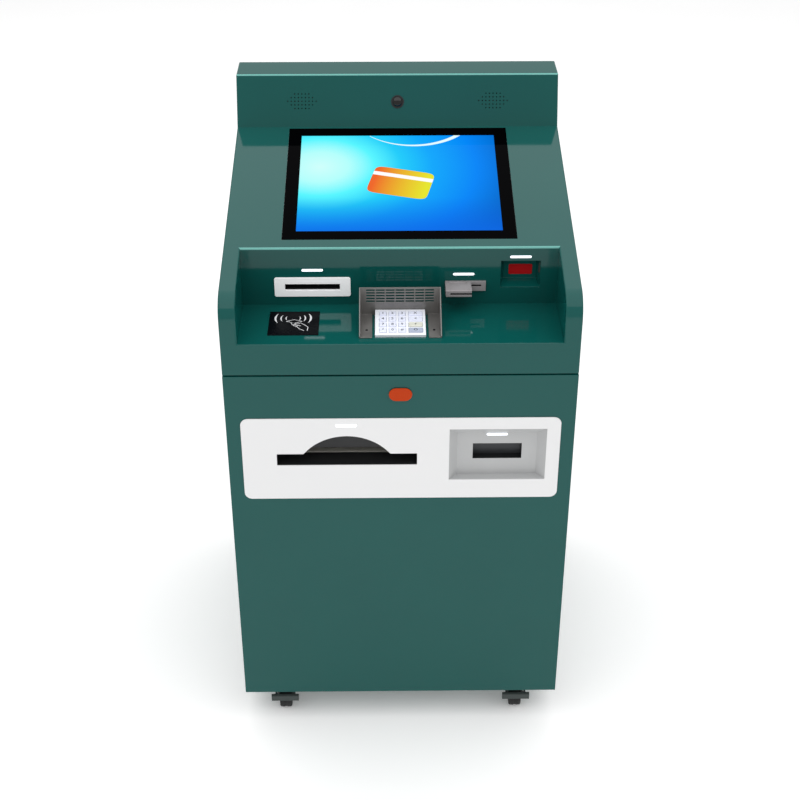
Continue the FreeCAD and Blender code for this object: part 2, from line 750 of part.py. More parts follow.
def pin_guard():
    floor = (shelf_height, shelf_height + guard_sheet)
    pieces = [block((-guard_half, guard_half), (guard_rear, guard_rear + guard_sheet),
                    (shelf_height, shelf_height + guard_height))]
    for side in (-1, 1):
        leg = block(sorted((side * (guard_half - guard_leg), side * guard_half)),
                    (guard_front, guard_rear), floor)
        points = [(guard_front, shelf_height), (guard_front, shelf_height + guard_tip),
                  (guard_rear, shelf_height + guard_height), (guard_rear, shelf_height)]
        wall = side_profile(points, sorted((side * (guard_half - guard_sheet), side * guard_half)))
        pieces += [leg, wall]
    guard = join(pieces)
    slots = []
    for i in range(guard_columns):
        for j in range(guard_rows):
            x = (i - (guard_columns - 1) / 2) * guard_slot_pitch[0]
            h = shelf_height + guard_slot_top - j * guard_slot_pitch[1]
            slots.append(front_plate((x, h), guard_slot, (guard_rear - 5, guard_rear + 5)))
    return guard.cut(Part.makeCompound(slots))


# ---- Light strips over the slots ----
def light_strips(places, depths):
    strips = []
    for (x, h), depth in zip(places, depths):
        radius = light_size[1] / 2 - 0.01
        strips.append(front_plate((x, h), light_size, (depth - light_thickness, depth), radius))
    return Part.makeCompound(strips)


# ---- Front door, with hinge knuckles and the lock's housing ----
def stadium(centre, size, depth):
    return front_plate(centre, size, depth, size[1] / 2 - 0.01)


def paper_opening(grow):
    """Outline box of the paper chute as x and height ranges."""
    x0, x1, h0, h1 = paper_slot
    return (x0 - grow, x1 + grow), (h0 - grow, h1 + paper_dome_rise + grow)


def throat_box(grow):
    x0, x1, h0, h1 = cash_recess
    return (x0 - grow, x1 + grow), (h0 - grow, h1 + grow)


def front_door():
    width = (-half, half)
    skin = block(width, (0, sheet), (0, door_top))
    rim = [block((-half, -inner_half), (sheet, door_return), (0, door_top)),
           block((inner_half, half), (sheet, door_return), (0, door_top)),
           block(width, (sheet, door_return), (0, sheet)),
           block(width, (sheet, door_return), (door_top - sheet, door_top))]
    door = join([skin] + rim)
    for span in knuckle_spans(True):
        notch = block((-half - 1, -half + 2 * hinge_inset + 1),
                      (hinge_depth - 2 * hinge_inset, door_return + 1),
                      (span[0] - knuckle_gap, span[1] + knuckle_gap))
        door = door.cut(notch)
    pieces = [door]
    for span in knuckle_spans(False):
        at = place(-half + hinge_inset, hinge_depth, span[0])
        pieces.append(rod(hinge_inset, span[1] - span[0], at, V(0, 0, 1)))
        pieces.append(block((-half, -inner_half), (sheet, hinge_depth), span))
    pieces.append(rod(lock_radius + lock_wall, door_return, place(lock_centre[0], sheet, lock_centre[1]),
                      V(0, 1, 0)))
    door = join(pieces)
    for span in knuckle_spans(False):
        at = place(-half + hinge_inset, hinge_depth, span[0])
        door = door.cut(rod(pin_radius + running_gap, span[1] - span[0], at, V(0, 0, 1)))
    through = (-5, sheet + 5)
    door = door.cut(block(paper_opening(chute_wall)[0], through, paper_opening(chute_wall)[1]))
    door = door.cut(block(throat_box(throat_wall)[0], through, throat_box(throat_wall)[1]))
    before = place(lock_centre[0], -door_return, lock_centre[1])
    door = door.cut(rod(lock_radius + running_gap, 4 * door_return, before, V(0, 1, 0)))
    return door.cut(rod(pivot_radius + running_gap, 20, place(*pivot_point(-10)), V(0, 1, 0)))


def pivot_point(depth):
    """Where the lock cover's rivet stands, as x, depth and height."""
    return cover_centre[0] - cover_size[0] / 2 + cover_pivot_inset, depth, cover_centre[1]


def lock_cover():
    cover = stadium(cover_centre, cover_size, (-cover_gap - cover_thickness, -cover_gap))
    radius, thick = rivet_head
    rivet = rod(pivot_radius, sheet + 2 * cover_gap + thick, place(*pivot_point(-cover_gap)), V(0, 1, 0))
    head = rod(radius, thick, place(*pivot_point(sheet + cover_gap)), V(0, 1, 0))
    return join([cover, rivet, head])


def front_lock():
    x, h = lock_centre
    depth = door_return + latch_lip + cam_gap
    plug = rod(lock_radius, depth - cover_gap, place(x, cover_gap, h), V(0, 1, 0))
    slit = block((x - keyway[0] / 2, x + keyway[0] / 2), (0, keyway[2]),
                 (h - keyway[1] / 2, h + keyway[1] / 2))
    cam = block((x - cam_length, x + cam_width / 2), (depth, depth + cam_thickness),
                (h - cam_width / 2, h + cam_width / 2))
    return join([plug.cut(slit), cam])


# ---- Fascia, paper chute, cash throat and shutter, all carried by the front door ----
def paper_shape(depth):
    """Mouth of the paper outlet: a long slot with a domed finger recess over it."""
    x0, x1, h0, h1 = paper_slot
    slot = block((x0, x1), depth, (h0, h1))
    chord = paper_dome_chord / 2
    radius = (chord ** 2 + paper_dome_rise ** 2) / (2 * paper_dome_rise)
    middle = (x0 + x1) / 2
    disc = rod(radius, depth[1] - depth[0],
               place(middle, depth[0], h1 + paper_dome_rise - radius), V(0, 1, 0))
    dome = disc.common(block((middle - radius, middle + radius), depth, (h1, h1 + paper_dome_rise)))
    return slot, dome


def fascia_plate():
    plate = front_plate(fascia_centre, fascia_size, (-fascia_thickness, 0), fascia_round)
    for hole in paper_shape((-fascia_thickness - 1, 1)):
        plate = plate.cut(hole)
    x0, x1, h0, h1 = cash_recess
    return plate.cut(block((x0, x1), (-fascia_thickness - 1, 1), (h0, h1)))


def paper_chute():
    box = block(paper_opening(chute_wall)[0], (0, chute_depth), paper_opening(chute_wall)[1])
    slot = paper_shape((-1, chute_depth + 1))[0]
    dome = paper_shape((-1, paper_dome_depth))[1]
    relief_x = (paper_slot[0] - chute_wall - 1, paper_slot[1] + chute_wall + 1)
    relief = block(relief_x, (paper_dome_depth + chute_wall, chute_depth + 1),
                   (paper_slot[3] + chute_wall, paper_slot[3] + paper_dome_rise + chute_wall + 1))
    return box.cut(slot).cut(dome).cut(relief)


def tunnel_box(grow):
    x, h = cash_slot_centre
    w, t = cash_slot_size[0] / 2 + grow, cash_slot_size[1] / 2 + grow
    return (x - w, x + w), (h - t, h + t)


def cash_throat():
    back = cash_recess_depth + sheet
    tray = block(throat_box(throat_wall)[0], (0, back), throat_box(throat_wall)[1])
    tray = tray.cut(tapered_pocket(cash_recess, (0, cash_recess_depth), *cash_recess_taper))
    end = cash_recess_depth + cash_tunnel
    tunnel = block(tunnel_box(throat_wall)[0], (back, end), tunnel_box(throat_wall)[1])
    throat = join([tray, tunnel])
    throat = throat.cut(block(tunnel_box(0)[0], (0, end + 1), tunnel_box(0)[1]))
    rails = []
    low = cash_slot_centre[1] - cash_slot_size[1] / 2 - shutter_lap
    high = cash_slot_centre[1] + cash_slot_size[1] / 2 + shutter_travel + shutter_lap
    rear = end + shutter_thickness + 2 * shutter_gap
    wide, thick, lip = rail_size
    for way in (-1, 1):
        inner = cash_slot_centre[0] + way * (cash_slot_size[0] / 2 + shutter_lap + shutter_gap)
        outer = inner + way * wide
        rails.append(block(sorted((inner, outer)), (back, rear + thick), (low, high)))
        hook = inner - way * lip
        rails.append(block(sorted((hook, outer)), (rear, rear + thick), (low, high)))
        edge = cash_slot_centre[0] + way * cash_slot_size[0] / 2
        web = block(sorted((edge, outer)), (back, end), (low, high))
        rails.append(web.cut(block(tunnel_box(0)[0], (0, end + 1), tunnel_box(0)[1])))
    return join([throat] + rails)


def cash_shutter():
    end = cash_recess_depth + cash_tunnel + shutter_gap
    x, h = cash_slot_centre
    w, t = cash_slot_size[0] / 2 + shutter_lap, cash_slot_size[1] / 2 + shutter_lap
    return block((x - w, x + w), (end, end + shutter_thickness), (h - t, h + t))


# ---- Rear door with cooling slots, its lock, and every hinge pin ----
def rear_axis():
    return -inner_half + rear_axis_inset[0], rear_face - rear_axis_inset[1]


def rear_door():
    width = inner_half - rear_gap
    low, high = sheet + rear_gap, rear_height
    inside = rear_face - rear_return
    skin = block((-width, width), (rear_face - sheet, rear_face), (low, high))
    rim = [block((-width, -width + sheet), (inside, rear_face - sheet), (low, high)),
           block((width - sheet, width), (inside, rear_face - sheet), (low, high)),
           block((-width, width), (inside, rear_face - sheet), (low, low + sheet)),
           block((-width, width), (inside, rear_face - sheet), (high - sheet, high))]
    x, depth = rear_axis()
    blocks = []
    w, tall = rear_block[0] / 2, rear_block[1]
    for span in ((low, low + tall), (high - tall, high)):
        blocks.append(block((x - w, x + w), (depth - w, rear_face - sheet), span))
    housing = rod(lock_radius + lock_wall, rear_return,
                  place(rear_lock_centre[0], inside - sheet, rear_lock_centre[1]), V(0, 1, 0))
    door = join([skin] + rim + blocks + [housing])
    cuts = [rod(pin_radius + running_gap, high + 20, place(x, depth, -10), V(0, 0, 1)),
            rod(lock_radius + running_gap, 3 * rear_return,
                place(rear_lock_centre[0], rear_face - 2 * rear_return, rear_lock_centre[1]), V(0, 1, 0))]
    through = (rear_face - 2 * sheet, rear_face + sheet)
    for middle in vent_heights:
        for i in range(vent_rows):
            for x_slot in vent_columns:
                h = middle + (i - (vent_rows - 1) / 2) * vent_pitch
                cuts.append(front_plate((x_slot, h), vent_slot, through))
    return door.cut(Part.makeCompound(cuts))


def rear_lock():
    x, h = rear_lock_centre
    inside = rear_face - rear_return - sheet
    cam_rear = inside - cover_gap
    cam_end = rear_face - rear_return - rear_lip_gap - sheet - cam_gap
    cam_depth = (cam_end - cam_thickness, cam_end)
    plug = rod(lock_radius, rear_face - cam_depth[0], place(x, cam_depth[0], h), V(0, 1, 0))
    start = place(x, rear_face + cover_gap, h)
    head = rod(lock_radius + lock_flange, rear_proud - cover_gap, start, V(0, 1, 0))
    neck = rod(lock_radius, cover_gap, place(x, rear_face, h), V(0, 1, 0))
    slit = block((x - keyway[0] / 2, x + keyway[0] / 2), (rear_face - 5, rear_face + 5),
                 (h - keyway[1] / 2, h + keyway[1] / 2))
    cam = block((x - cam_width / 2, x + cam_width / 2), cam_depth, (h - cam_width / 2, h + rear_lock_reach))
    if cam_rear < cam_depth[1]:
        raise ValueError("rear lock cam reaches into its housing")
    return join([plug, neck, head, cam]).cut(slit)


def hinge_pins():
    pins = []
    length = 3 * knuckle_length + 2 * knuckle_gap
    for base in hinge_heights:
        pins.append(rod(pin_radius, length, place(-half + hinge_inset, hinge_depth, base), V(0, 0, 1)))
    x, depth = rear_axis()
    for low in (sheet, rear_height + rear_gap - rear_pin_length):
        pins.append(rod(pin_radius, rear_pin_length, place(x, depth, low), V(0, 0, 1)))
    return Part.makeCompound(pins)


# ---- Castors: swivelling and braked in front, fixed behind ----
def ground(x, depth, height):
    """Point given by its height over the floor instead of over the cabinet's bottom."""
    return place(x, depth, height - castor_height)


def fork_cheeks(x, kingpin, axle, top):
    """Two cheeks and their bridge, from the axle up to a disc under the kingpin."""
    pieces = []
    inner = wheel_width / 2 + fork_gap
    reach, drop, rounding = fork_lobe
    ahead, below, behind = fork_shoulder
    rear = kingpin + 0.8 * disc_radius
    points = [(axle - reach, wheel_radius - drop), (axle + reach, wheel_radius - drop),
              (rear, top - behind), (rear, top), (axle - ahead, top), (axle - below, top - ahead)]
    for side in (-1, 1):
        wire = outline([ground(x + side * inner, d, h) for d, h in points], {0: rounding, 1: rounding})
        pieces.append(Part.Face(wire).extrude(V(side * cheek_thickness, 0, 0)))
    outer = inner + cheek_thickness
    pieces.append(Part.makeBox(2 * outer, rear - axle + ahead, plate_sheet,
                               ground(x - outer, axle - ahead, top - plate_sheet)))
    return pieces


def axle_rod(x, axle):
    reach = wheel_width / 2 + fork_gap + cheek_thickness + axle_end
    return rod(axle_radius, 2 * reach, ground(x - reach, axle, wheel_radius), V(1, 0, 0))


def wheel(x, axle):
    tread = rod(wheel_radius, wheel_width, ground(x - wheel_width / 2, axle, wheel_radius), V(1, 0, 0))
    rims = [e for e in tread.Edges if abs(e.Length - 2 * math.pi * wheel_radius) < 1]
    tread = tread.makeFillet(tyre_round, rims)
    hub_half = wheel_width / 2 + fork_gap - hub_gap
    hub = rod(hub_radius, 2 * hub_half, ground(x - hub_half, axle, wheel_radius), V(1, 0, 0))
    start = ground(x - hub_half - 1, axle, wheel_radius)
    bore = rod(axle_radius + running_gap, 2 * hub_half + 2, start, V(1, 0, 0))
    return join([tread, hub]).cut(bore)


def castor_fork(x):
    kingpin = front_castor_depth
    axle = kingpin - castor_trail
    pieces = fork_cheeks(x, kingpin, axle, fork_top)
    low, high = disc_heights
    pieces.append(rod(disc_radius, high - low, ground(x, kingpin, low), V(0, 0, 1)))
    pieces.append(axle_rod(x, axle))
    reach = wheel_width / 2 + fork_gap + cheek_thickness
    pivot = ground(x, axle + pedal_pivot[0], pedal_pivot[1])
    for side in (-1, 1):
        pieces.append(rod(*pedal_pin, pivot + V(side * reach, 0, 0), V(side, 0, 0)))
    fork = join(pieces)
    return fork.cut(rod(kingpin_radius + running_gap, 30, ground(x, kingpin, 50), V(0, 0, 1)))


def brake_pedal(x):
    """Foot pedal: two arms on the fork's pivots and a wide tread plate ahead of the wheel."""
    axle = front_castor_depth - castor_trail
    depth, height = axle + pedal_pivot[0], pedal_pivot[1]
    inner = wheel_width / 2 + fork_gap + cheek_thickness + hub_gap
    points = [(depth + 5, height - 5), (depth + 5, height + 5), (depth - 8, height + 5),
              (depth - pedal_reach, height - 4), (depth - pedal_reach, height - pedal_drop),
              (depth - pedal_reach + pedal_tread, height - pedal_drop)]
    pieces = []
    for side in (-1, 1):
        wire = outline([ground(x + side * inner, d, h) for d, h in points], {1: 3, 2: 3})
        arm = Part.Face(wire).extrude(V(side * pedal_arm, 0, 0))
        pivot = ground(x + side * (inner - 5), depth, height)
        pieces.append(arm.cut(rod(pedal_pin[0] + running_gap, 20, pivot, V(side, 0, 0))))
    tread = ((depth - pedal_reach, height - pedal_drop),
             (depth - pedal_reach + pedal_tread, height - pedal_drop),
             (depth - pedal_reach + 7, height - 3), (depth - pedal_reach + 5, height - 1),
             (depth - pedal_reach, height - 4))
    wire = outline([ground(x - pedal_width / 2, d, h) for d, h in tread], {})
    pieces.append(Part.Face(wire).extrude(V(pedal_width, 0, 0)))
    return join(pieces)


def castor_brackets():
    """Top plates of all four castors; the rear pair carries its fixed forks too."""
    brackets = []
    size, under = castor_plate, castor_height - plate_sheet
    race_low = disc_heights[1] + race_gap
    for x in (-castor_x, castor_x):
        plates = [Part.makeBox(size, size, plate_sheet, ground(x - size / 2, depth - size / 2, under))
                  for depth in (front_castor_depth, rear_castor_depth)]
        race = rod(race_radius, under - race_low, ground(x, front_castor_depth, race_low), V(0, 0, 1))
        pin = rod(kingpin_radius, under - kingpin_low, ground(x, front_castor_depth, kingpin_low), V(0, 0, 1))
        radius, thick, height = kingpin_head
        head = rod(radius, thick, ground(x, front_castor_depth, height), V(0, 0, 1))
        brackets.append(join([plates[0], race, pin, head]))
        cheeks = fork_cheeks(x, rear_castor_depth, rear_castor_depth, under)
        brackets.append(join([plates[1]] + cheeks + [axle_rod(x, rear_castor_depth)]))
    return Part.makeCompound(brackets)


# ---- Equipment: rack, document printer, cash dispenser, cassettes and computer ----
def equipment_rack():
    pieces = []
    top = rack_shelves[-1]
    for x in (rack_x[0], rack_x[1] - rack_tube):
        for depth in (rack_depth[0], rack_depth[1] - rack_tube):
            pieces.append(block((x, x + rack_tube), (depth, depth + rack_tube), (sheet, top)))
    for height in rack_shelves:
        pieces.append(block(rack_x, rack_depth, (height, height + sheet)))
    return join(pieces)


def document_printer():
    middle = (paper_slot[0] + paper_slot[1]) / 2
    w, deep, tall = printer_size
    low = rack_shelves[-1] + sheet
    width = (middle - w / 2, middle + w / 2)
    body = block(width, (printer_front, printer_front + deep), (low, low + tall))
    over = castor_height + low + tall / 2
    body = body.makeFillet(printer_round, [e for e in body.Edges if e.BoundBox.ZMin > over])
    slot_h = (paper_slot[2], paper_slot[3])
    outlet = block(paper_slot[:2], (printer_front - 1, printer_front + outlet_depth), slot_h)
    spread, thick = guide_spread
    guide = block((paper_slot[0] - spread, paper_slot[1] + spread), (chute_depth + spread, printer_front + 1),
                  (slot_h[0] - thick, slot_h[0]))
    w, bottom, over = paper_tray
    tray = block((middle - w, middle + w), (printer_front - 6, printer_front), (low + bottom, low + over))
    w, bottom, over = paper_grip
    grip = block((middle - w, middle + w), (printer_front - 7, printer_front - 2), (low + bottom, low + over))
    return join([body.cut(outlet), guide, tray.cut(grip)])


def cash_dispenser():
    x0, x1 = dispenser_x
    plate = dispenser_plate
    top = sheet + dispenser_spare + cassette_count * cassette_pitch
    head_top = top + dispenser_head
    pieces = [block((x0, x1), dispenser_depth, (sheet, sheet + plate)),
              block((x0, x0 + plate), dispenser_depth, (sheet, top)),
              block((x1 - plate, x1), dispenser_depth, (sheet, top)),
              block((x0, x1), dispenser_depth, (top, head_top))]
    for i in range(cassette_count):
        low = sheet + runner_low + i * cassette_pitch
        for side_x in ((x0 + plate, x0 + plate + runner[0]), (x1 - plate - runner[0], x1 - plate)):
            pieces.append(block(side_x, dispenser_depth, (low, low + runner[1])))
    a, b = tunnel_box(nose_wall)
    nose = block(a, (dispenser_depth[0] - nose_reach, dispenser_depth[0]), b)
    a, b = tunnel_box(0)
    path = block(a, (dispenser_depth[0] - nose_reach - 1, dispenser_depth[0] + note_path), b)
    return join(pieces + [nose]).cut(path)


def cash_cassettes():
    x0, x1 = dispenser_x
    gap = dispenser_plate + cassette_side_gap
    boxes = []
    x = (x0 + x1) / 2
    depth = (dispenser_depth[0] + cassette_insets[0], dispenser_depth[1] - cassette_insets[1])
    w, deep, grip_low, grip_high = cassette_grip
    for i in range(cassette_count):
        low = sheet + runner_low + runner[1] + i * cassette_pitch
        box = block((x0 + gap, x1 - gap), depth, (low, low + cassette_height))
        box = box.makeFillet(cassette_round, [e for e in box.Edges if e.BoundBox.YLength > cassette_height])
        grip = block((x - w, x + w), (dispenser_depth[0], dispenser_depth[0] + deep),
                     (low + grip_low, low + grip_high))
        boxes.append(box.cut(grip))
    return Part.makeCompound(boxes)


def control_computer():
    """Industrial computer and, beside it, the power supply, on the rack's middle shelf."""
    low = rack_shelves[0] + sheet
    x0, x1, near, far, tall = computer_box
    computer = block((x0, x1), (near, far), (low, low + tall))
    count, pitch, width, beside, before = computer_vents
    for i in range(count):
        start = near + before + i * pitch
        computer = computer.cut(block((x0 + beside, x1 - beside), (start, start + width),
                                      (low + tall - 3.0, low + tall + 1.0)))
    x0, x1, near, far, tall = supply_box
    supply = block((x0, x1), (near, far), (low, low + tall))
    w, deep, tall = inlet_size
    x, up = inlet_place
    inlet = block((x - w / 2, x + w / 2), (far, far + deep), (low + up, low + up + tall))
    return Part.makeCompound([computer, join([supply, inlet])])


# ---- Write every node ----
save("base_tray", base_tray())
save("side_panel_left", side_panel(-1))
save("side_panel_right", side_panel(1))
save("console_liner", console_liner())
save("screen_panel", screen_panel())
save("header_shell", header_shell())
save("monitor_glass", monitor_glass())
save("monitor_body", monitor_body())
save("camera", camera())
save("speakers", speakers())
save("receipt_bezel", receipt_bezel())
save("receipt_printer", receipt_printer())
save("paper_roll", paper_roll())
save("card_reader", card_reader())
save("scanner_housing", scanner_housing())
save("contactless_pad", contactless_pad())
save("pin_pad", pin_pad())
save("pin_guard", pin_guard())
for key_name, key_x, key_up, key_w in key_places():
    save(key_name, key_cap(key_x, key_up, key_w))
save("alcove_lights", light_strips(light_places, (alcove_depth,) * 3))
save("front_door", front_door())
save("lock_cover", lock_cover())
save("front_lock", front_lock())
save("fascia_plate", fascia_plate())
save("paper_chute", paper_chute())
save("cash_throat", cash_throat())
save("cash_shutter", cash_shutter())
save("door_lights", light_strips(door_light_places, (-fascia_thickness, cash_recess_depth)))
save("rear_door", rear_door())
save("rear_lock", rear_lock())
save("hinge_pins", hinge_pins())
save("castor_brackets", castor_brackets())
for side_name, side_x in (("left", -castor_x), ("right", castor_x)):
    save("castor_fork_" + side_name, castor_fork(side_x))
    save("brake_pedal_" + side_name, brake_pedal(side_x))
    save("wheel_front_" + side_name, wheel(side_x, front_castor_depth - castor_trail))
    save("wheel_rear_" + side_name, wheel(side_x, rear_castor_depth))
save("equipment_rack", equipment_rack())
save("document_printer", document_printer())
save("cash_dispenser", cash_dispenser())
save("cash_cassettes", cash_cassettes())
save("control_computer", control_computer())
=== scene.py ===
"""Looks of a self-service bank kiosk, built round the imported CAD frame. Units are metres."""
import json
import math

import bmesh
import bpy
from mathutils import Matrix, Vector

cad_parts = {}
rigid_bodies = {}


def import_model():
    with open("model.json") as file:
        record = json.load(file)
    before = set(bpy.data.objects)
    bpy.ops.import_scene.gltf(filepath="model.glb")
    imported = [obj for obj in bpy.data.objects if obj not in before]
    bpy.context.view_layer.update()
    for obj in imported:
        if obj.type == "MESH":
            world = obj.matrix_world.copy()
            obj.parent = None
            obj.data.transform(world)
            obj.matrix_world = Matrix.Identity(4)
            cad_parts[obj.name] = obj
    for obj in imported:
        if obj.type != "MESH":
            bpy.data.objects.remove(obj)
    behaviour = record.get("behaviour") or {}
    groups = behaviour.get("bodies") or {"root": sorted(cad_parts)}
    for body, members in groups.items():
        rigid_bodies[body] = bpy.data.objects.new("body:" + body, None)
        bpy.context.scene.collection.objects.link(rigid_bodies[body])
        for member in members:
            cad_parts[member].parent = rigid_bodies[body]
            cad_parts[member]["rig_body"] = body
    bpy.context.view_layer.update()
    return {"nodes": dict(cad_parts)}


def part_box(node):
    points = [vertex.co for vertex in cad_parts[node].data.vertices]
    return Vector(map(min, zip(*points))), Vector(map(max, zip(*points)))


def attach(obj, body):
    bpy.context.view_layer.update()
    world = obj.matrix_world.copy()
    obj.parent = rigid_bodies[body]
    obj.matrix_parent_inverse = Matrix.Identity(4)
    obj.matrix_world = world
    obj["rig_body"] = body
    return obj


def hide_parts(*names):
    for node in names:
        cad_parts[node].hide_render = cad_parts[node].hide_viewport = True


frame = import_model()

# ---------------------------------------------------------------- Room and camera
# A pale paper floor under soft, even studio light from above. The camera stands in front of the
# kiosk, higher than a person, and looks down on it.
MM = 0.001


def linear(code):
    """Linear colour with alpha from an sRGB hex code."""
    channels = [int(code[i:i + 2], 16) / 255 for i in (0, 2, 4)]
    return [c / 12.92 if c <= 0.04045 else ((c + 0.055) / 1.055) ** 2.4 for c in channels] + [1.0]


def add(tree, kind, settings=None, inputs=None):
    """Adds one node with its settings; an input is a value, or a (node, output) pair to link."""
    node = tree.nodes.new(kind)
    for key, value in (settings or {}).items():
        setattr(node, key, value)
    for key, value in (inputs or {}).items():
        if isinstance(value, tuple) and isinstance(value[0], bpy.types.Node):
            tree.links.new(value[0].outputs[value[1]], node.inputs[key])
        else:
            node.inputs[key].default_value = value
    return node


def new_material(name):
    """Empty material, its node tree and its object-space coordinates."""
    material = bpy.data.materials.new(name)
    material.use_nodes = True
    tree = material.node_tree
    tree.nodes.clear()
    return material, tree, add(tree, "ShaderNodeTexCoord")


def finish(name, dark, light, patch, rough, grain, depth, stretch=(1, 1, 1), **sockets):
    """Even finish: its colour and roughness drift over patches, and a fine grain stands in its bump.
    Patch, grain and depth are real sizes; stretch below one draws the grain out along that axis."""
    material, tree, coords = new_material(name)
    drift = add(tree, "ShaderNodeTexNoise", {}, {
        "Vector": (coords, "Object"), "Scale": 1 / patch, "Detail": 3.0})
    tone = add(tree, "ShaderNodeMix", {"data_type": "RGBA"}, {
        "Factor": (drift, "Fac"), "A": linear(dark), "B": linear(light)})
    sheen = add(tree, "ShaderNodeMapRange", {}, {
        "Value": (drift, "Fac"), "From Min": 0.3, "From Max": 0.7, "To Min": rough[0], "To Max": rough[1]})
    drawn = add(tree, "ShaderNodeMapping", {}, {"Vector": (coords, "Object"), "Scale": stretch})
    noise = add(tree, "ShaderNodeTexNoise", {}, {"Vector": (drawn, 0), "Scale": 1 / grain, "Detail": 2.0})
    bump = add(tree, "ShaderNodeBump", {}, {"Height": (noise, "Fac"), "Strength": 0.4, "Distance": depth})
    shader = add(tree, "ShaderNodeBsdfPrincipled", {}, {
        "Base Color": (tone, "Result"), "Roughness": (sheen, 0), "Normal": (bump, 0), **sockets})
    add(tree, "ShaderNodeOutputMaterial", {}, {"Surface": (shader, 0)})
    return material


floor_mesh = bpy.data.meshes.new("studio_floor")
reach = 6.0
floor_mesh.from_pydata([(-reach, -reach, 0), (reach, -reach, 0), (reach, reach, 0), (-reach, reach, 0)],
                       [], [(0, 1, 2, 3)])
floor = bpy.data.objects.new("studio_floor", floor_mesh)
bpy.context.scene.collection.objects.link(floor)
# A little light of its own stands for the bleached white of a bright studio on the floor. The receipt bezel
# gets the same glow as painted light, which brightens it where the alcove keeps light off it.
faint_own_glow = {"Emission Color": linear("FFFFFF"), "Emission Strength": 0.14}
floor_mesh.materials.append(finish("matt_white_paper", "FAFAFA", "FEFEFE", 0.5, (0.8, 0.9), 4 * MM,
                                   0.05 * MM, **faint_own_glow))

world = bpy.data.worlds.new("white_studio")
bpy.context.scene.world = world
world.use_nodes = True
background = world.node_tree.nodes["Background"].inputs
background["Color"].default_value = linear("FFFFFF")
background["Strength"].default_value = 0.62
bpy.context.scene.view_settings.view_transform = "Standard"


def softbox(name, place, target, size, power):
    """Rectangular area light that faces a target."""
    light = bpy.data.lights.new(name, "AREA")
    light.shape = "RECTANGLE"
    light.size, light.size_y = size
    light.energy = power
    lamp = bpy.data.objects.new(name, light)
    lamp.location = place
    lamp.rotation_euler = (Vector(target) - Vector(place)).to_track_quat("-Z", "Y").to_euler()
    bpy.context.scene.collection.objects.link(lamp)


softbox("overhead_softbox", (0.0, -0.8, 4.6), (0, -0.8, 0), (9.0, 9.0), 262.0)

CAMERA_DIP, CAMERA_TURN = 32.25, -0.657
camera_data = bpy.data.cameras.new("camera")
camera_data.lens = 65.93
camera_data.sensor_width = 36.0
camera = bpy.data.objects.new("camera", camera_data)
camera.location = (-0.0267, -2.5369, 2.1793)
camera.rotation_euler = (math.radians(90 - CAMERA_DIP), 0, math.radians(CAMERA_TURN))
bpy.context.scene.collection.objects.link(camera)
bpy.context.scene.camera = camera

# ---------------------------------------------------------------- Cabinet shell
# Two-millimetre steel sheet, laser cut, bent and welded into one shell, then powder coated in a
# glossy dark green. Its bends have a small outer radius, and the front rolls into the screen slope.
SHEET = 2 * MM
SLOPE = math.radians(12.4)
LEAN = math.radians(69)
CONSOLE_UP = 759.25 * MM
CORNER_UP = 902.7 * MM
SHELF_UP = 821 * MM
SLOPE_LENGTH = 533 * MM
HEADER_LENGTH = 102 * MM
ALCOVE_DEPTH = 148 * MM
CHEEK_WIDTH = 30.5 * MM
DOOR_GAP = 1.5 * MM
# How far a cutter reaches past the face that it opens.
PAST = 0.1
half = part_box("side_panel_right")[1].x
inner_half = half - SHEET
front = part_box("console_liner")[0].y
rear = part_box("side_panel_right")[1].y
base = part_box("base_tray")[0].z
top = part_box("header_shell")[1].z
console_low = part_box("side_panel_right")[0].z + CONSOLE_UP
side_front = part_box("base_tray")[0].y
corner = base + CORNER_UP
roll_radius = 47.4 * MM
crease = Vector((0, front + SLOPE_LENGTH * math.cos(SLOPE), corner + SLOPE_LENGTH * math.sin(SLOPE)))
header_top = crease.y + HEADER_LENGTH * math.cos(LEAN)
alcove_half = half - CHEEK_WIDTH
alcove_back = front + ALCOVE_DEPTH
alcove_top = corner + ALCOVE_DEPTH * math.tan(SLOPE)
shelf = base + SHELF_UP
rear_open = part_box("rear_door")[1].z + DOOR_GAP


def new_piece(name, work):
    """Object at the origin from a bmesh, with its faces turned outwards."""
    bmesh.ops.recalc_face_normals(work, faces=work.faces)
    mesh = bpy.data.meshes.new(name)
    work.to_mesh(mesh)
    work.free()
    piece = bpy.data.objects.new(name, mesh)
    bpy.context.scene.collection.objects.link(piece)
    return piece


def draw_out(work, points, step):
    """Adds a prism: a closed loop of points and the vector that it is drawn out by."""
    near = [work.verts.new(p) for p in points]
    far = [work.verts.new(Vector(p) + Vector(step)) for p in points]
    work.faces.new(near)
    work.faces.new(list(reversed(far)))
    for i in range(len(points)):
        j = (i + 1) % len(points)
        work.faces.new((near[j], near[i], far[i], far[j]))


def side_prism(name, points, x0, x1):
    """Prism whose section is drawn in the y-z plane."""
    work = bmesh.new()
    draw_out(work, [(x0, y, z) for y, z in points], (x1 - x0, 0, 0))
    return new_piece(name, work)


def boxes(name, *spans):
    """One object of boxes, each given by its low and high corner."""
    work = bmesh.new()
    for low, high in spans:
        ring = [(low[0], y, z) for y, z in ((low[1], low[2]), (high[1], low[2]), (high[1], high[2]),
                                            (low[1], high[2]))]
        draw_out(work, ring, (high[0] - low[0], 0, 0))
    return new_piece(name, work)


def on_plane(angle, origin):
    """Matrix that lays a flat shape, drawn with +Y up the slope and +Z outwards, on a sloping face."""
    return Matrix.Translation(origin) @ Matrix.Rotation(angle, 4, "X")


ON_SCREEN = on_plane(SLOPE, (0, front, corner))
ON_HEADER = on_plane(LEAN, crease)


def bake_modifiers(piece):
    """Keeps a piece as its modifiers shape it, as a plain mesh."""
    evaluated = piece.evaluated_get(bpy.context.evaluated_depsgraph_get())
    mesh = bpy.data.meshes.new_from_object(evaluated)
    piece.modifiers.clear()
    piece.data = mesh


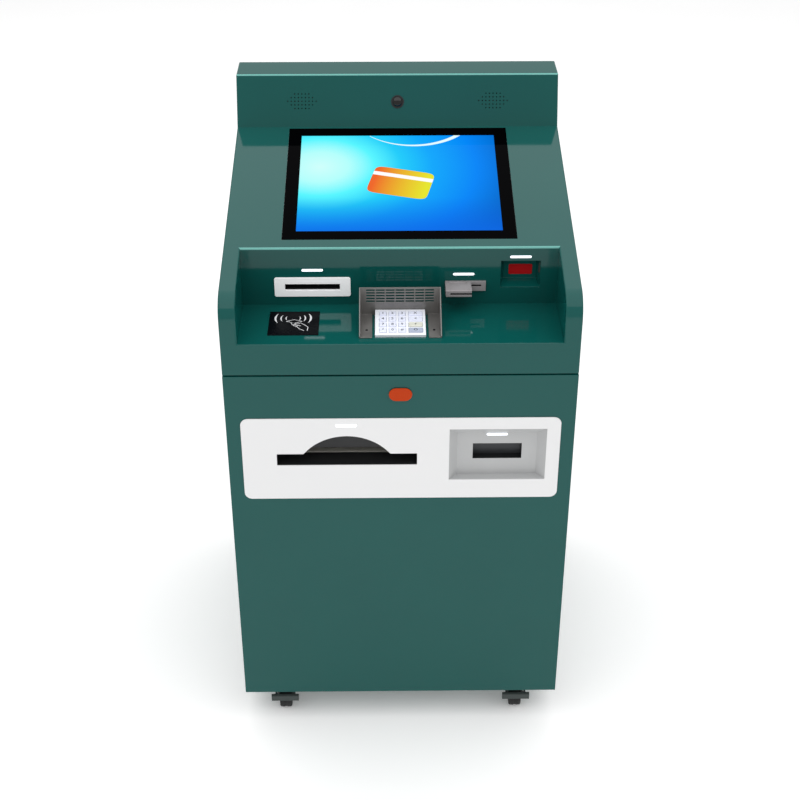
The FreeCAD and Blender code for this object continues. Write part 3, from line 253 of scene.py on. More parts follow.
def cut_away(piece, *cutters):
    """Takes closed meshes away from a piece and uses them up."""
    for cutter in cutters:
        modifier = piece.modifiers.new("cut", "BOOLEAN")
        modifier.object = cutter
        modifier.operation = "DIFFERENCE"
        modifier.solver = "EXACT"
        bake_modifiers(piece)
        bpy.data.objects.remove(cutter)


def round_edges(piece, width, segments=2, limit="ANGLE"):
    """Rounds the sharp edges, or the weighted ones, to a radius."""
    modifier = piece.modifiers.new("round", "BEVEL")
    modifier.width = width
    modifier.segments = segments
    modifier.limit_method = limit
    modifier.angle_limit = math.radians(35)
    modifier.use_clamp_overlap = False
    bake_modifiers(piece)


def smooth(piece, angle=34):
    """Shades the rounded edges smoothly and leaves the large faces flat."""
    piece.data.shade_smooth()
    piece.data.set_sharp_from_angle(angle=math.radians(angle))
    modifier = piece.modifiers.new("flat_faces_stay_flat", "WEIGHTED_NORMAL")
    modifier.keep_sharp = True
    bake_modifiers(piece)


def dress(piece, body, material=None, replaced=()):
    """Gives a finished piece its material and body, and hides the CAD nodes that it stands for."""
    if material:
        piece.data.materials.clear()
        piece.data.materials.append(material)
    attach(piece, body)
    if replaced:
        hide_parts(*replaced)


def repaint(piece, material, chosen):
    """Gives another material to the faces that pass a test on their centre and normal."""
    piece.data.materials.append(material)
    slot = len(piece.data.materials) - 1
    for face in piece.data.polygons:
        if chosen(face.center, face.normal):
            face.material_index = slot


def shell_profile(inset):
    """Rolled corner, crease and header of the shell, set in by a thickness, as y-z points."""
    level = corner - inset / math.cos(SLOPE)
    start = front + inset
    radius = roll_radius - inset
    turn = math.radians(102.4)
    steps = 14
    tangent = radius / math.tan(turn / 2)
    centre = (start + radius, level + inset * math.tan(SLOPE) - tangent)
    bend = []
    for i in range(steps + 1):
        a = math.pi - (math.pi - turn) * i / steps
        bend.append((centre[0] + radius * math.cos(a), centre[1] + radius * math.sin(a)))
    foot = Vector((crease.y, crease.z)) + inset * Vector((math.tan((LEAN - SLOPE) / 2 + SLOPE), -1))
    lip = (header_top + inset * math.tan(LEAN / 2), top - inset)
    return bend + [tuple(foot), lip]


# Gloss powder coat: a deep, slightly mottled colour under a clear sheen with faint orange peel.
coat_texture = (0.12, (0.05, 0.09), 2.5 * MM, 0.006 * MM)
green_paint = finish("gloss_green_powder_coat", "094E4A", "0A524D", *coat_texture, IOR=1.37)

below_base = base - 10 * MM
outline = [(front, below_base)] + shell_profile(0) + [(rear, top), (rear, below_base)]
shell = side_prism("cabinet_shell", outline, -half, half)
cut_away(shell, boxes("alcove", ((-alcove_half, front - PAST, shelf),
                                 (alcove_half, alcove_back, corner + PAST))))
# The rear sheet edge and the shelf's edges are bent tighter than the rest.
BEND_RADIUS, TIGHT_BEND = 2.8 * MM, 0.35
work = bmesh.new()
work.from_mesh(shell.data)
weight = work.edges.layers.float.new("bevel_weight_edge")
for edge in work.edges:
    middle = (edge.verts[0].co + edge.verts[1].co) / 2
    sheet_edge = middle.y > rear - MM and middle.z < top - PAST
    shelf_edge = abs(middle.z - shelf) < MM and abs(middle.x) < alcove_half - MM
    if edge.calc_face_angle_signed(0) > math.radians(25):
        edge[weight] = TIGHT_BEND if sheet_edge or shelf_edge else 1.0
work.to_mesh(shell.data)
work.free()
round_edges(shell, BEND_RADIUS, 4, "WEIGHT")
just_past = 0.05
inside = [(front - just_past, base - just_past), (front - just_past, console_low),
          (front + SHEET, console_low)]
inside += shell_profile(SHEET) + [(rear - SHEET, top - SHEET), (rear - SHEET, rear_open),
                                  (rear + just_past, rear_open), (rear + just_past, base - just_past)]
hollow = side_prism("hollow", inside, -inner_half, inner_half)
cut_away(hollow, boxes("liner", ((-alcove_half - SHEET, front - 2 * PAST, shelf - SHEET),
                                 (alcove_half + SHEET, alcove_back + SHEET, corner + PAST))))
cut_away(shell, hollow,
         boxes("below", ((-1, -1, base - PAST), (1, 1, base))),
         boxes("door_space", ((-1, front - PAST, base - PAST), (1, side_front, console_low))))

glass_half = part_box("monitor_glass")[1].x
glass_up, glass_reach = 351.7 * MM, 175.5 * MM
fit = 0.4 * MM
through = 10 * MM
screen_hole = boxes("screen_hole", ((-glass_half - fit, glass_up - glass_reach - fit, -through),
                                    (glass_half + fit, glass_up + glass_reach + fit, through)))
screen_hole.data.transform(ON_SCREEN)
card_low, card_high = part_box("card_reader")
card_slot = base + 861.4 * MM
deep = 5 * MM
wall_front, wall_back = alcove_back - deep, alcove_back + deep


def hole_behind(node, side, rim):
    """Hole in the alcove wall behind a node, set in from its sides and from its rims."""
    low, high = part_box(node)
    return ((low.x + side, wall_front, low.z + rim), (high.x - side, wall_back, high.z - rim))


card_inset, card_rise = 12 * MM, 4 * MM
pad_half, pad_front, pad_back = 45.4 * MM, 24.6 * MM, 106 * MM
device_holes = boxes(
    "device_holes",
    hole_behind("scanner_housing", 4 * MM, 3 * MM), hole_behind("receipt_bezel", 5 * MM, 5 * MM),
    ((card_low.x + card_inset, wall_front, card_slot - card_rise),
     (card_high.x - card_inset, wall_back, card_slot + card_rise)),
    ((-pad_half, front + pad_front, shelf - deep), (pad_half, front + pad_back, shelf + deep)))


def geometry_tree(name, sockets):
    """Empty geometry tree with named inputs, and its input node."""
    tree = bpy.data.node_groups.new(name, "GeometryNodeTree")
    tree.interface.new_socket("Geometry", in_out="OUTPUT", socket_type="NodeSocketGeometry")
    for label, kind in [("Geometry", "Geometry")] + sockets + [("Material", "Material")]:
        tree.interface.new_socket(label, in_out="INPUT", socket_type="NodeSocket" + kind)
    return tree, add(tree, "NodeGroupInput")


def end_tree(tree, given, instances):
    """Every tree ends with real faces and their material."""
    real = add(tree, "GeometryNodeRealizeInstances", {}, {"Geometry": instances})
    painted = add(tree, "GeometryNodeSetMaterial", {}, {
        "Geometry": (real, 0), "Material": (given, "Material")})
    add(tree, "NodeGroupOutput", {}, {"Geometry": (painted, 0)})


def grow(name, tree, points, **values):
    """Runs a geometry tree on loose points and keeps the result as a plain mesh."""
    mesh = bpy.data.meshes.new(name)
    mesh.from_pydata([tuple(p) for p in points], [], [])
    piece = bpy.data.objects.new(name, mesh)
    bpy.context.scene.collection.objects.link(piece)
    modifier = piece.modifiers.new(name, "NODES")
    modifier.node_group = tree
    for item in tree.interface.items_tree:
        if item.in_out == "INPUT" and item.name.replace(" ", "_").lower() in values:
            modifier[item.identifier] = values[item.name.replace(" ", "_").lower()]
    bake_modifiers(piece)
    return piece


# A speaker grille is a square grid of round punches, kept only inside an ellipse.
grille_tree, given = geometry_tree("punched_grille", [
    ("Width", "Float"), ("Height", "Float"), ("Columns", "Int"), ("Rows", "Int"), ("Reach", "Vector"),
    ("Radius", "Float"), ("Depth", "Float")])
grid = add(grille_tree, "GeometryNodeMeshGrid", {}, {
    "Size X": (given, "Width"), "Size Y": (given, "Height"), "Vertices X": (given, "Columns"),
    "Vertices Y": (given, "Rows")})
here = add(grille_tree, "GeometryNodeInputPosition")
share = add(grille_tree, "ShaderNodeVectorMath", {"operation": "DIVIDE"}, {
    0: (here, 0), 1: (given, "Reach")})
span = add(grille_tree, "ShaderNodeVectorMath", {"operation": "LENGTH"}, {0: (share, 0)})
outside = add(grille_tree, "FunctionNodeCompare", {"operation": "GREATER_THAN"}, {
    0: (span, "Value"), 1: 1.0})
kept = add(grille_tree, "GeometryNodeDeleteGeometry", {"domain": "POINT"}, {
    "Geometry": (grid, "Mesh"), "Selection": (outside, 0)})
punch = add(grille_tree, "GeometryNodeMeshCylinder", {}, {
    "Vertices": 12, "Radius": (given, "Radius"), "Depth": (given, "Depth")})
punches = add(grille_tree, "GeometryNodeInstanceOnPoints", {}, {
    "Points": (kept, 0), "Instance": (punch, 0)})
end_tree(grille_tree, given, (punches, 0))
speaker_x, speaker_up = 188.5 * MM, 50 * MM
grilles = []
for side in (-1, 1):
    grille = grow("grille_punches", grille_tree, [(0, 0, 0)], width=56 * MM, height=42 * MM, columns=9,
                  rows=7, reach=(29 * MM, 18 * MM, 1.0), radius=1.3 * MM, depth=12 * MM)
    grille.data.transform(ON_HEADER @ Matrix.Translation((side * speaker_x, speaker_up, 0)))
    grilles.append(grille)


def turned(work, profile, origin, axis, steps):
    """Adds a solid of revolution: (radius, distance along the axis) pairs from pole to pole."""
    on_axis = 1e-7
    frame_of_axis = Vector(axis).to_track_quat("Z", "Y").to_matrix()
    rings = []
    for radius, along in profile:
        if radius < on_axis:
            rings.append([work.verts.new(Vector(origin) + frame_of_axis @ Vector((0, 0, along)))])
            continue
        rings.append([work.verts.new(Vector(origin) + frame_of_axis @ Vector((
            radius * math.cos(2 * math.pi * i / steps), radius * math.sin(2 * math.pi * i / steps), along)))
            for i in range(steps)])
    for low, high in zip(rings, rings[1:]):
        for i in range(steps):
            j = (i + 1) % steps
            ring = [low[i % len(low)], low[j % len(low)], high[j % len(high)], high[i % len(high)]]
            if len(low) == 1:
                ring = [low[0], high[j], high[i]]
            elif len(high) == 1:
                ring = [low[i], low[j], high[0]]
            work.faces.new(ring)


camera_up, camera_bore = 48.3 * MM, 11.9 * MM
camera_seat = ON_HEADER @ Vector((0, camera_up, 0))
outwards = ON_HEADER.to_3x3() @ Vector((0, 0, 1))
work = bmesh.new()
turned(work, [(0, -through), (camera_bore, -through), (camera_bore, through), (0, through)], camera_seat,
       outwards, 32)
cut_away(shell, screen_hole, device_holes, *grilles, new_piece("camera_hole", work))
smooth(shell)
dress(shell, "cabinet", green_paint, ("side_panel_left", "side_panel_right", "console_liner", "screen_panel",
                                      "header_shell"))

# The two long bends that face the customer are painted a lighter green. This is a painted highlight: a thin
# bright line in place of the light that they catch.
painted_bend_highlight = finish("powder_coat_on_a_tight_bend", "66A8A0", "70B2AA", *coat_texture, IOR=1.37)


def on_highlighted_bend(centre, normal):
    """True on the header's front top bend and on the bend over the alcove's wall, which get the painted
    highlight.
    """
    bend_y, bend_z = 3 * MM, 4 * MM
    header = abs(centre.y - header_top) < bend_y and centre.z > top - bend_z and 0.42 < normal.z < 0.97
    return header or (abs(centre.y - alcove_back) < bend_y and abs(centre.z - alcove_top) < bend_z
                      and 0.1 < normal.z < 0.96)


# The faces of these two bends get the lighter green of the painted highlight.
repaint(shell, painted_bend_highlight, on_highlighted_bend)

# Each side folds in behind the rear door, and a lip under the console takes the front door's latch.
LIP = 18 * MM
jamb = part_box("rear_door")[0].y - SHEET
jambs = boxes("rear_jambs", *(
    ((min(side * inner_half, side * (inner_half - LIP)), jamb - SHEET, base + SHEET),
     (max(side * inner_half, side * (inner_half - LIP)), jamb, rear_open)) for side in (-1, 1)))
dress(jambs, "cabinet", green_paint)
lip_front, lip_back = front + 22.5 * MM, front + 24.5 * MM
latch = boxes("latch_lip",
              ((-alcove_half, lip_front, console_low - LIP), (alcove_half, lip_back, console_low)),
              ((-alcove_half, front + SHEET, console_low), (alcove_half, lip_back, console_low + SHEET)))
dress(latch, "cabinet", green_paint)


def finished(node, material, width=0.5, segments=2):
    """Stand-in for a CAD node with its flat faces made whole and its edges rounded, in millimetres."""
    work = bmesh.new()
    work.from_mesh(frame["nodes"][node].data)
    same_point, same_face = 0.002 * MM, math.radians(1)
    bmesh.ops.remove_doubles(work, verts=work.verts, dist=same_point)
    bmesh.ops.dissolve_limit(work, angle_limit=same_face, verts=work.verts, edges=work.edges)
    piece = new_piece(node + "_finished", work)
    round_edges(piece, width * MM, segments)
    smooth(piece)
    dress(piece, frame["nodes"][node]["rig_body"], material, (node,))
    return piece


finished("base_tray", green_paint, 0.6)

# ---------------------------------------------------------------- Hinges
# Folded steel leaves welded inside the left panel, with rolled knuckles round turned steel pins.
# They are zinc plated, so they are pale and slightly mottled.
zinc = finish("zinc_plated_steel", "A9ACB0", "C3C6C9", 0.02, (0.3, 0.42), 1.5 * MM, 0.02 * MM, Metallic=1.0)
finished("hinge_pins", zinc, 0.3)
KNUCKLE, KNUCKLE_PITCH = 26 * MM, 26.5
BORE, BARREL = 2.55 * MM, 4 * MM
LEAF_REACH, LEAF_SHEET = 22 * MM, 1.9 * MM
hinge_x, hinge_y = -half + BARREL, front + 22 * MM
work = bmesh.new()
for low in (80, 600):
    for step in (0, 2):
        z = base + (low + step * KNUCKLE_PITCH) * MM
        turned(work, [(BORE, 0), (BARREL, 0), (BARREL, KNUCKLE), (BORE, KNUCKLE), (BORE, 0)],
               (hinge_x, hinge_y, z), (0, 0, 1), 24)
        leaf_back = hinge_y + LEAF_REACH
        draw_out(work, [(-inner_half, hinge_y, z), (-inner_half, leaf_back, z),
                        (-inner_half, leaf_back, z + KNUCKLE), (-inner_half, hinge_y, z + KNUCKLE)],
                 (LEAF_SHEET, 0, 0))
leaves = new_piece("hinge_leaves", work)
smooth(leaves)
dress(leaves, "cabinet", zinc)

# ---------------------------------------------------------------- Front door and its fascia
# The door is a folded pan in the same green coat. Its white fascia is a separate two-millimetre
# sheet with rounded corners, stuck on the front.
finished("front_door", green_paint, 0.7)
# Satin white coat: almost flat, with a very fine texture.
white_coat = finish("satin_white_powder_coat", "E6E6E7", "EAEAEA", 0.2, (0.38, 0.48), 0.9 * MM, 0.012 * MM)
finished("fascia_plate", white_coat, 0.6, 3)

# ---------------------------------------------------------------- Paper outlet
# One black moulded chute behind the fascia: a long slot with a domed hollow for the fingers.
black_abs = finish("textured_black_abs", "17181A", "1F2022", 0.05, (0.42, 0.55), 0.8 * MM, 0.03 * MM)
finished("paper_chute", black_abs, 0.6)

# ---------------------------------------------------------------- Cash outlet
# A light grey moulded tray with sloping walls round a black tunnel, closed by a sliding shutter.
tray_grey = finish("moulded_grey_tray", "B2B3B4", "BBBCBC", 0.05, (0.4, 0.5), 0.8 * MM, 0.02 * MM)
throat = finished("cash_throat", tray_grey, 0.6, 3)
tray_back = front + 16.4 * MM
repaint(throat, black_abs, lambda c, n: c.y > tray_back)
shutter_steel = finish("dark_coated_shutter", "35373A", "3D3F42", 0.03, (0.35, 0.45), 1.0 * MM, 0.02 * MM,
                       Metallic=0.3)
finished("cash_shutter", shutter_steel, 0.3)

# ---------------------------------------------------------------- Light strips
# Opal polycarbonate diffusers with round ends, lit from behind by cool white LEDs.
opal, tree, coords = new_material("lit_opal_polycarbonate")
fade = add(tree, "ShaderNodeTexNoise", {}, {"Vector": (coords, "Object"), "Scale": 90.0})
level = add(tree, "ShaderNodeMapRange", {}, {"Value": (fade, "Fac"), "To Min": 1.05, "To Max": 1.2})
glow = add(tree, "ShaderNodeBsdfPrincipled", {}, {
    "Base Color": linear("F4F8FF"), "Roughness": 0.4, "Emission Color": linear("F2F7FF"),
    "Emission Strength": (level, 0)})
add(tree, "ShaderNodeOutputMaterial", {}, {"Surface": (glow, 0)})
finished("alcove_lights", opal, 0.35)
finished("door_lights", opal, 0.35)

# ---------------------------------------------------------------- Locks and the front cover
# Cam locks in nickel-plated plugs. The front one is behind an orange moulded cover that swings
# aside on a rivet.
orange_abs = finish("moulded_orange_abs", "B43402", "BE3E04", 0.03, (0.4, 0.5), 1.2 * MM, 0.02 * MM,
                    **{"Specular IOR Level": 0.15})
nickel = finish("nickel_plated_brass", "B9B3A6", "C9C4B8", 0.01, (0.18, 0.28), 0.5 * MM, 0.01 * MM,
                Metallic=1.0)
finished("lock_cover", orange_abs, 1.1, 4)
finished("front_lock", nickel, 0.3)
finished("rear_lock", nickel, 0.5)

# ---------------------------------------------------------------- Touch monitor
# Toughened cover glass with a black printed border over a lit LCD, in an open zinc-plated chassis.
# The picture is a plain blue glow with one light streak and a payment card.
LIT_HALF, LIT_UP = (188.15 * MM, 150.55 * MM, 1), 350.7 * MM
GLOW_CENTRE = (-0.150, 0.055, 0)
RING_CENTRE, RING_RADIUS = (0.030, 0.245, 0), 0.128
STREAK_START = -0.055
CARD_MIDDLE, CARD_HALF, CARD_TILT = (0.004, -0.004, 0), (0.058, 0.042, 1), math.radians(-14)
STRIPE_LOW, STRIPE_HIGH = 0.014, 0.025
glass, tree, coords = new_material("lit_touch_glass")
local = add(tree, "ShaderNodeMapping", {}, {
    "Vector": (coords, "Object"), "Rotation": (-SLOPE, 0, 0),
    "Location": ON_SCREEN.inverted().to_translation()})
flat = add(tree, "ShaderNodeSeparateXYZ", {}, {0: (local, 0)})
centred = add(tree, "ShaderNodeVectorMath", {"operation": "SUBTRACT"}, {0: (local, 0), 1: (0, LIT_UP, 0)})
scaled = add(tree, "ShaderNodeVectorMath", {"operation": "DIVIDE"}, {0: (centred, 0), 1: LIT_HALF})
unsigned = add(tree, "ShaderNodeVectorMath", {"operation": "ABSOLUTE"}, {0: (scaled, 0)})
sides = add(tree, "ShaderNodeSeparateXYZ", {}, {0: (unsigned, 0)})
furthest = add(tree, "ShaderNodeMath", {"operation": "MAXIMUM"}, {0: (sides, 0), 1: (sides, 1)})
lit = add(tree, "ShaderNodeMath", {"operation": "LESS_THAN"}, {0: (furthest, 0), 1: 1.0})

# The glow fades in rings from pale cyan on the left to deep blue in the far lower corner.
stretched = add(tree, "ShaderNodeVectorMath", {"operation": "MULTIPLY"}, {0: (centred, 0), 1: (1.0, 1.15, 0)})
glow_reach = add(tree, "ShaderNodeVectorMath", {"operation": "DISTANCE"}, {0: (stretched, 0), 1: GLOW_CENTRE})
rings = add(tree, "ShaderNodeValToRGB", {}, {"Fac": (glow_reach, "Value")})
ramp = rings.color_ramp
ramp.elements[0].color = linear("CFFFFB")
ramp.elements[1].position, ramp.elements[1].color = 0.40, linear("0058B0")
for position, code in ((0.055, "B4FFFC"), (0.105, "58F6FF"), (0.155, "20CDFA"), (0.215, "0EA8FC"),
                       (0.30, "0286F8")):
    ramp.elements.new(position).color = linear(code)
# The lowest third of the picture darkens towards royal blue.
fall = add(tree, "ShaderNodeMapRange", {}, {
    "Value": (flat, 1), "From Min": LIT_UP - 0.15, "From Max": LIT_UP - 0.05, "To Min": 0.85, "To Max": 0.0})
dusk = add(tree, "ShaderNodeMix", {"data_type": "RGBA"}, {
    "Factor": (fall, 0), "A": (rings, "Color"), "B": linear("0669E8")})
# The streak is part of a thin ring, brightest near the top edge.
ring_reach = add(tree, "ShaderNodeVectorMath", {"operation": "DISTANCE"}, {0: (centred, 0), 1: RING_CENTRE})
off_ring = add(tree, "ShaderNodeMath", {"operation": "SUBTRACT"}, {0: (ring_reach, "Value"), 1: RING_RADIUS})
off_size = add(tree, "ShaderNodeMath", {"operation": "ABSOLUTE"}, {0: (off_ring, 0)})
streak_width = add(tree, "ShaderNodeMapRange", {}, {
    "Value": (flat, 0), "From Min": -0.06, "From Max": 0.11, "To Min": 0.0004, "To Max": 0.0042})
streak = add(tree, "ShaderNodeMath", {"operation": "LESS_THAN"}, {0: (off_size, 0), 1: (streak_width, 0)})
right_part = add(tree, "ShaderNodeMath", {"operation": "GREATER_THAN"}, {0: (flat, 0), 1: STREAK_START})
streak_on = add(tree, "ShaderNodeMath", {"operation": "MULTIPLY"}, {0: (streak, 0), 1: (right_part, 0)})
streaked = add(tree, "ShaderNodeMix", {"data_type": "RGBA"}, {
    "Factor": (streak_on, 0), "A": (dusk, "Result"), "B": linear("E8FFFF")})
# The payment card is a tilted rectangle, warm orange to yellow, with a white stripe. Its corners
# are round because the eighth powers of its two shares are added.
card_turn = add(tree, "ShaderNodeMapping", {"vector_type": "TEXTURE"}, {
    "Vector": (centred, 0), "Location": CARD_MIDDLE, "Rotation": (0, 0, CARD_TILT)})
card_flat = add(tree, "ShaderNodeSeparateXYZ", {}, {0: (card_turn, 0)})
card_share = add(tree, "ShaderNodeVectorMath", {"operation": "DIVIDE"}, {0: (card_turn, 0), 1: CARD_HALF})
power = add(tree, "ShaderNodeVectorMath", {"operation": "ABSOLUTE"}, {0: (card_share, 0)})
for doubling in range(3):
    power = add(tree, "ShaderNodeVectorMath", {"operation": "MULTIPLY"}, {0: (power, 0), 1: (power, 0)})
card_sum = add(tree, "ShaderNodeVectorMath", {"operation": "DOT_PRODUCT"}, {0: (power, 0), 1: (1, 1, 0)})
card_on = add(tree, "ShaderNodeMath", {"operation": "LESS_THAN"}, {0: (card_sum, "Value"), 1: 1.0})
card_fade = add(tree, "ShaderNodeMapRange", {}, {
    "Value": (card_flat, 0), "From Min": -0.05, "From Max": 0.05})
card_tone = add(tree, "ShaderNodeMix", {"data_type": "RGBA"}, {
    "Factor": (card_fade, 0), "A": linear("F0682A"), "B": linear("E6E62E")})
stripe_low = add(tree, "ShaderNodeMath", {"operation": "GREATER_THAN"}, {0: (card_flat, 1), 1: STRIPE_LOW})
stripe_high = add(tree, "ShaderNodeMath", {"operation": "LESS_THAN"}, {0: (card_flat, 1), 1: STRIPE_HIGH})
stripe = add(tree, "ShaderNodeMath", {"operation": "MULTIPLY"}, {0: (stripe_low, 0), 1: (stripe_high, 0)})
card_face = add(tree, "ShaderNodeMix", {"data_type": "RGBA"}, {
    "Factor": (stripe, 0), "A": (card_tone, "Result"), "B": linear("FFFFFF")})
picture = add(tree, "ShaderNodeMix", {"data_type": "RGBA"}, {
    "Factor": (card_on, 0), "A": (streaked, "Result"), "B": (card_face, "Result")})
shown = add(tree, "ShaderNodeMix", {"data_type": "RGBA"}, {
    "Factor": (lit, 0), "A": linear("000000"), "B": (picture, "Result")})
screen = add(tree, "ShaderNodeBsdfPrincipled", {}, {
    "Base Color": linear("010102"), "Roughness": 0.04, "IOR": 1.05, "Emission Color": (shown, "Result"),
    "Emission Strength": 1.0})
add(tree, "ShaderNodeOutputMaterial", {}, {"Surface": (screen, 0)})
finished("monitor_glass", glass, 0.4, 3)
finished("monitor_body", zinc, 0.6)

# ---------------------------------------------------------------- Camera and speakers
# A small dome camera: a black bezel ring, a recessed ring and a smoked dome over the lens. The two
# paper-cone speakers sit in black frames behind the grilles.
gloss_black = finish("polished_black_polycarbonate", "050506", "09090B", 0.02, (0.03, 0.07), 2 * MM,
                     0.002 * MM)


def in_mm(profile):
    """Profile in metres from one in millimetres."""
    return [(radius * MM, along * MM) for radius, along in profile]


barrel = [(0, -22), (11.4, -22), (11.4, 0.2), (12.5, 0.2), (12.7, 0.6), (12.4, 1.2), (11.2, 1.2), (10.6, 0.3),
          (9.6, 0.3), (9.4, 0.7), (0, 0.7)]
work = bmesh.new()
turned(work, in_mm(barrel), camera_seat, outwards, 64)
bezel = new_piece("camera_bezel", work)
smooth(bezel)
dress(bezel, "cabinet", black_abs, ("camera",))
work = bmesh.new()
dome_radius, dome_foot, dome_rise = 9.3 * MM, 0.5 * MM, 3.4 * MM
arc = [(dome_radius * math.cos(math.radians(a)), dome_foot + dome_rise * math.sin(math.radians(a)))
       for a in range(0, 90, 6)]
turned(work, [(0, dome_foot)] + arc + [(0, dome_foot + dome_rise)], camera_seat, outwards, 64)
dome = new_piece("camera_dome", work)
smooth(dome, 60)
dress(dome, "cabinet", gloss_black)
board_half, board_low, board_high = 19 * MM, 33.3 * MM, 63.3 * MM
board_back, board_front = -30 * MM, -22.05 * MM
board = boxes("camera_board", ((-board_half, board_low, board_back), (board_half, board_high, board_front)))
board.data.transform(ON_HEADER)
round_edges(board, 0.5 * MM)
dress(board, "cabinet", black_abs)
finished("speakers", black_abs, 0.6)
paper_cone = finish("pressed_paper_cone", "2A2926", "363430", 0.01, (0.75, 0.9), 0.6 * MM, 0.05 * MM)
cone = [(0, 0), (20, 0), (20.5, 1.3), (18.5, 2.2), (16.5, 1.2), (7, 0.6), (5, 1.6), (0, 2.2)]
cone_depth = 4.95 * MM
work = bmesh.new()
for side in (-1, 1):
    seat = ON_HEADER @ Vector((side * speaker_x, speaker_up, -cone_depth))
    turned(work, in_mm(cone), seat, outwards, 40)
cones = new_piece("speaker_cones", work)
smooth(cones, 60)
dress(cones, "cabinet", paper_cone)

# ---------------------------------------------------------------- Receipt printer
# A white bezel round the slot in the alcove, and behind it a black thermal printer with its roll
# of paper on a spindle.
# The bezel's white moulding also glows faintly. This is painted light for the light that the alcove's cheeks
# keep off it.
white_abs_painted_glow = finish("moulded_white_abs", "F6F6F8", "FAFAFC", 0.04, (0.28, 0.38), 0.9 * MM, 0.015 * MM,
                   **faint_own_glow)
finished("receipt_bezel", white_abs_painted_glow, 0.8, 3)
finished("receipt_printer", black_abs, 0.6)
roll_paper = finish("thermal_paper_roll", "E9E8E2", "F1F0EC", 0.02, (0.6, 0.75), 0.35 * MM, 0.03 * MM,
                    stretch=(0.05, 1, 1))
finished("paper_roll", roll_paper, 0.3)

# ---------------------------------------------------------------- Card reader and code scanner
# The reader's mouth is a warm grey moulding with a long nose on its left and a finger scallop.
# The scanner looks out through a red window at the back of a green recess.
reader_grey = finish("moulded_warm_grey_abs", "8B8688", "979294", 0.03, (0.34, 0.44), 0.9 * MM, 0.02 * MM)
reader = finished("card_reader", reader_grey, 0.5, 3)
mouth_rise, mouth_inset = 1.7 * MM, 6 * MM
repaint(reader, black_abs, lambda c, n: c.y > alcove_back or (
    abs(c.z - card_slot) < mouth_rise and abs(n.y) < 0.4
    and card_low.x + mouth_inset < c.x < card_high.x - mouth_inset))
red_window = finish("tinted_red_acrylic", "9C1216", "B0161B", 0.02, (0.08, 0.14), 2 * MM, 0.005 * MM, IOR=1.2,
                    **{"Emission Color": linear("A01414"), "Emission Strength": 0.12})
scanner = finished("scanner_housing", green_paint, 0.4)
engine_y = alcove_back + 26 * MM
window_x, window_up = 220.75 * MM, 880 * MM
window_half, window_rise = 21.6 * MM, 10.4 * MM
window_front, window_back = alcove_back + 22.3 * MM, alcove_back + 25.2 * MM
repaint(scanner, black_abs, lambda c, n: c.y > engine_y)
repaint(scanner, red_window, lambda c, n: abs(c.z - base - window_up) < window_rise and n.y < -0.1
        and abs(c.x - window_x) < window_half and window_front < c.y < window_back)

# ---------------------------------------------------------------- Contactless pad
# A satin black plate set in the shelf, printed in white with radio waves and a hand with a card.
# The print is drawn in millimetres from the middle of the plate.
pad_black = finish("smoked_black_acrylic", "07080C", "0A0B10", 0.02, (0.2, 0.3), 2 * MM, 0.002 * MM, IOR=1.12)
finished("contactless_pad", pad_black, 0.3)
pad_low, pad_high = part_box("contactless_pad")
pad_mid = (pad_low + pad_high) / 2
ink_level, ink_film = pad_high.z + 0.01 * MM, 0.019 * MM
print_shift = 2


def stroke(work, points, widths):
    """Flat printed line through points, with its own width at each."""
    left, right = [], []
    for i, point in enumerate(points):
        ahead = Vector(points[min(i + 1, len(points) - 1)]) - Vector(points[max(i - 1, 0)])
        across = Vector((-ahead.y, ahead.x)).normalized() * widths[i] / 2
        left.append(Vector(point) + across)
        right.append(Vector(point) - across)
    loop = [(pad_mid.x + (p.x - print_shift) * MM, pad_mid.y + (p.y - print_shift) * MM, ink_level)
            for p in left + right[::-1]]
    draw_out(work, loop, (0, 0, ink_film))


white_ink = finish("printed_white_ink", "E4E4E8", "EDEDF0", 0.01, (0.35, 0.45), 0.5 * MM, 0.005 * MM)
waves_up, wave_end, wave_taper = 19, 0.3, 2.7
turns = [math.radians(a) for a in range(-32, 33, 4)]
work = bmesh.new()
for side in (-1, 1):
    for radius, width in ((13, 1.9), (22, 2.5), (32, 3.4)):
        stroke(work, [(side * radius * math.cos(a), waves_up + radius * math.sin(a)) for a in turns],
               [max(wave_end, width * math.cos(a * wave_taper)) for a in turns])
card_shape = [(-12, 8), (2, 14), (17, 8), (3, 1), (-12, 8)]
for a, b in zip(card_shape, card_shape[1:]):
    stroke(work, [a, b], [1.1, 1.1])
hand = [[(-4, 5), (4, 0), (10, -2), (14, 2)], [(14, 2), (22, -6), (28, -14), (27, -26)],
        [(-4, 5), (-1, -4), (3, -9), (8, -12), (13, -20), (21, -26)], [(3, -2), (9, -7), (15, -9)],
        [(-1, -4), (5, -6)], [(3, -9), (10, -9)]]
for line in hand:
    stroke(work, line, [1.2] * len(line))
icon = new_piece("contactless_icon", work)
dress(icon, "cabinet", white_ink)

# ---------------------------------------------------------------- PIN pad
# A pale anodised plate and sixteen pale coated keys with dark, etched legends. The keys press
# straight into the plate. The legends lie just above the caps, so that they show.
pale_anodised = finish("pale_blue_anodised_aluminium", "F2F5FF", "F8FAFF", 0.01, (0.3, 0.4), 0.6 * MM,
                       0.01 * MM, Metallic=0.1)
key_texture = (0.01, (0.25, 0.35), 0.6 * MM, 0.008 * MM)
key_pale = finish("pale_coated_key", "E4E8FA", "ECF0FF", *key_texture, Metallic=0.1)
key_yellow = finish("pale_yellow_key", "DCDDD0", "E4E5D8", *key_texture, Metallic=0.2)
key_blue = finish("slate_blue_key", "A9B2C8", "B4BDD2", *key_texture, Metallic=0.2)
dark_ink = finish("etched_dark_legend", "16161C", "1E1E26", 0.01, (0.5, 0.6), 0.4 * MM, 0.005 * MM)
finished("pin_pad", pale_anodised, 0.35)
PLATE_RISE, PLATE_DEPTH = 8.0, 79.4
PLATE = math.atan2(PLATE_RISE, PLATE_DEPTH)
key_normal = Vector((0, -math.sin(PLATE), math.cos(PLATE)))
legend_lift = 0.012 * MM
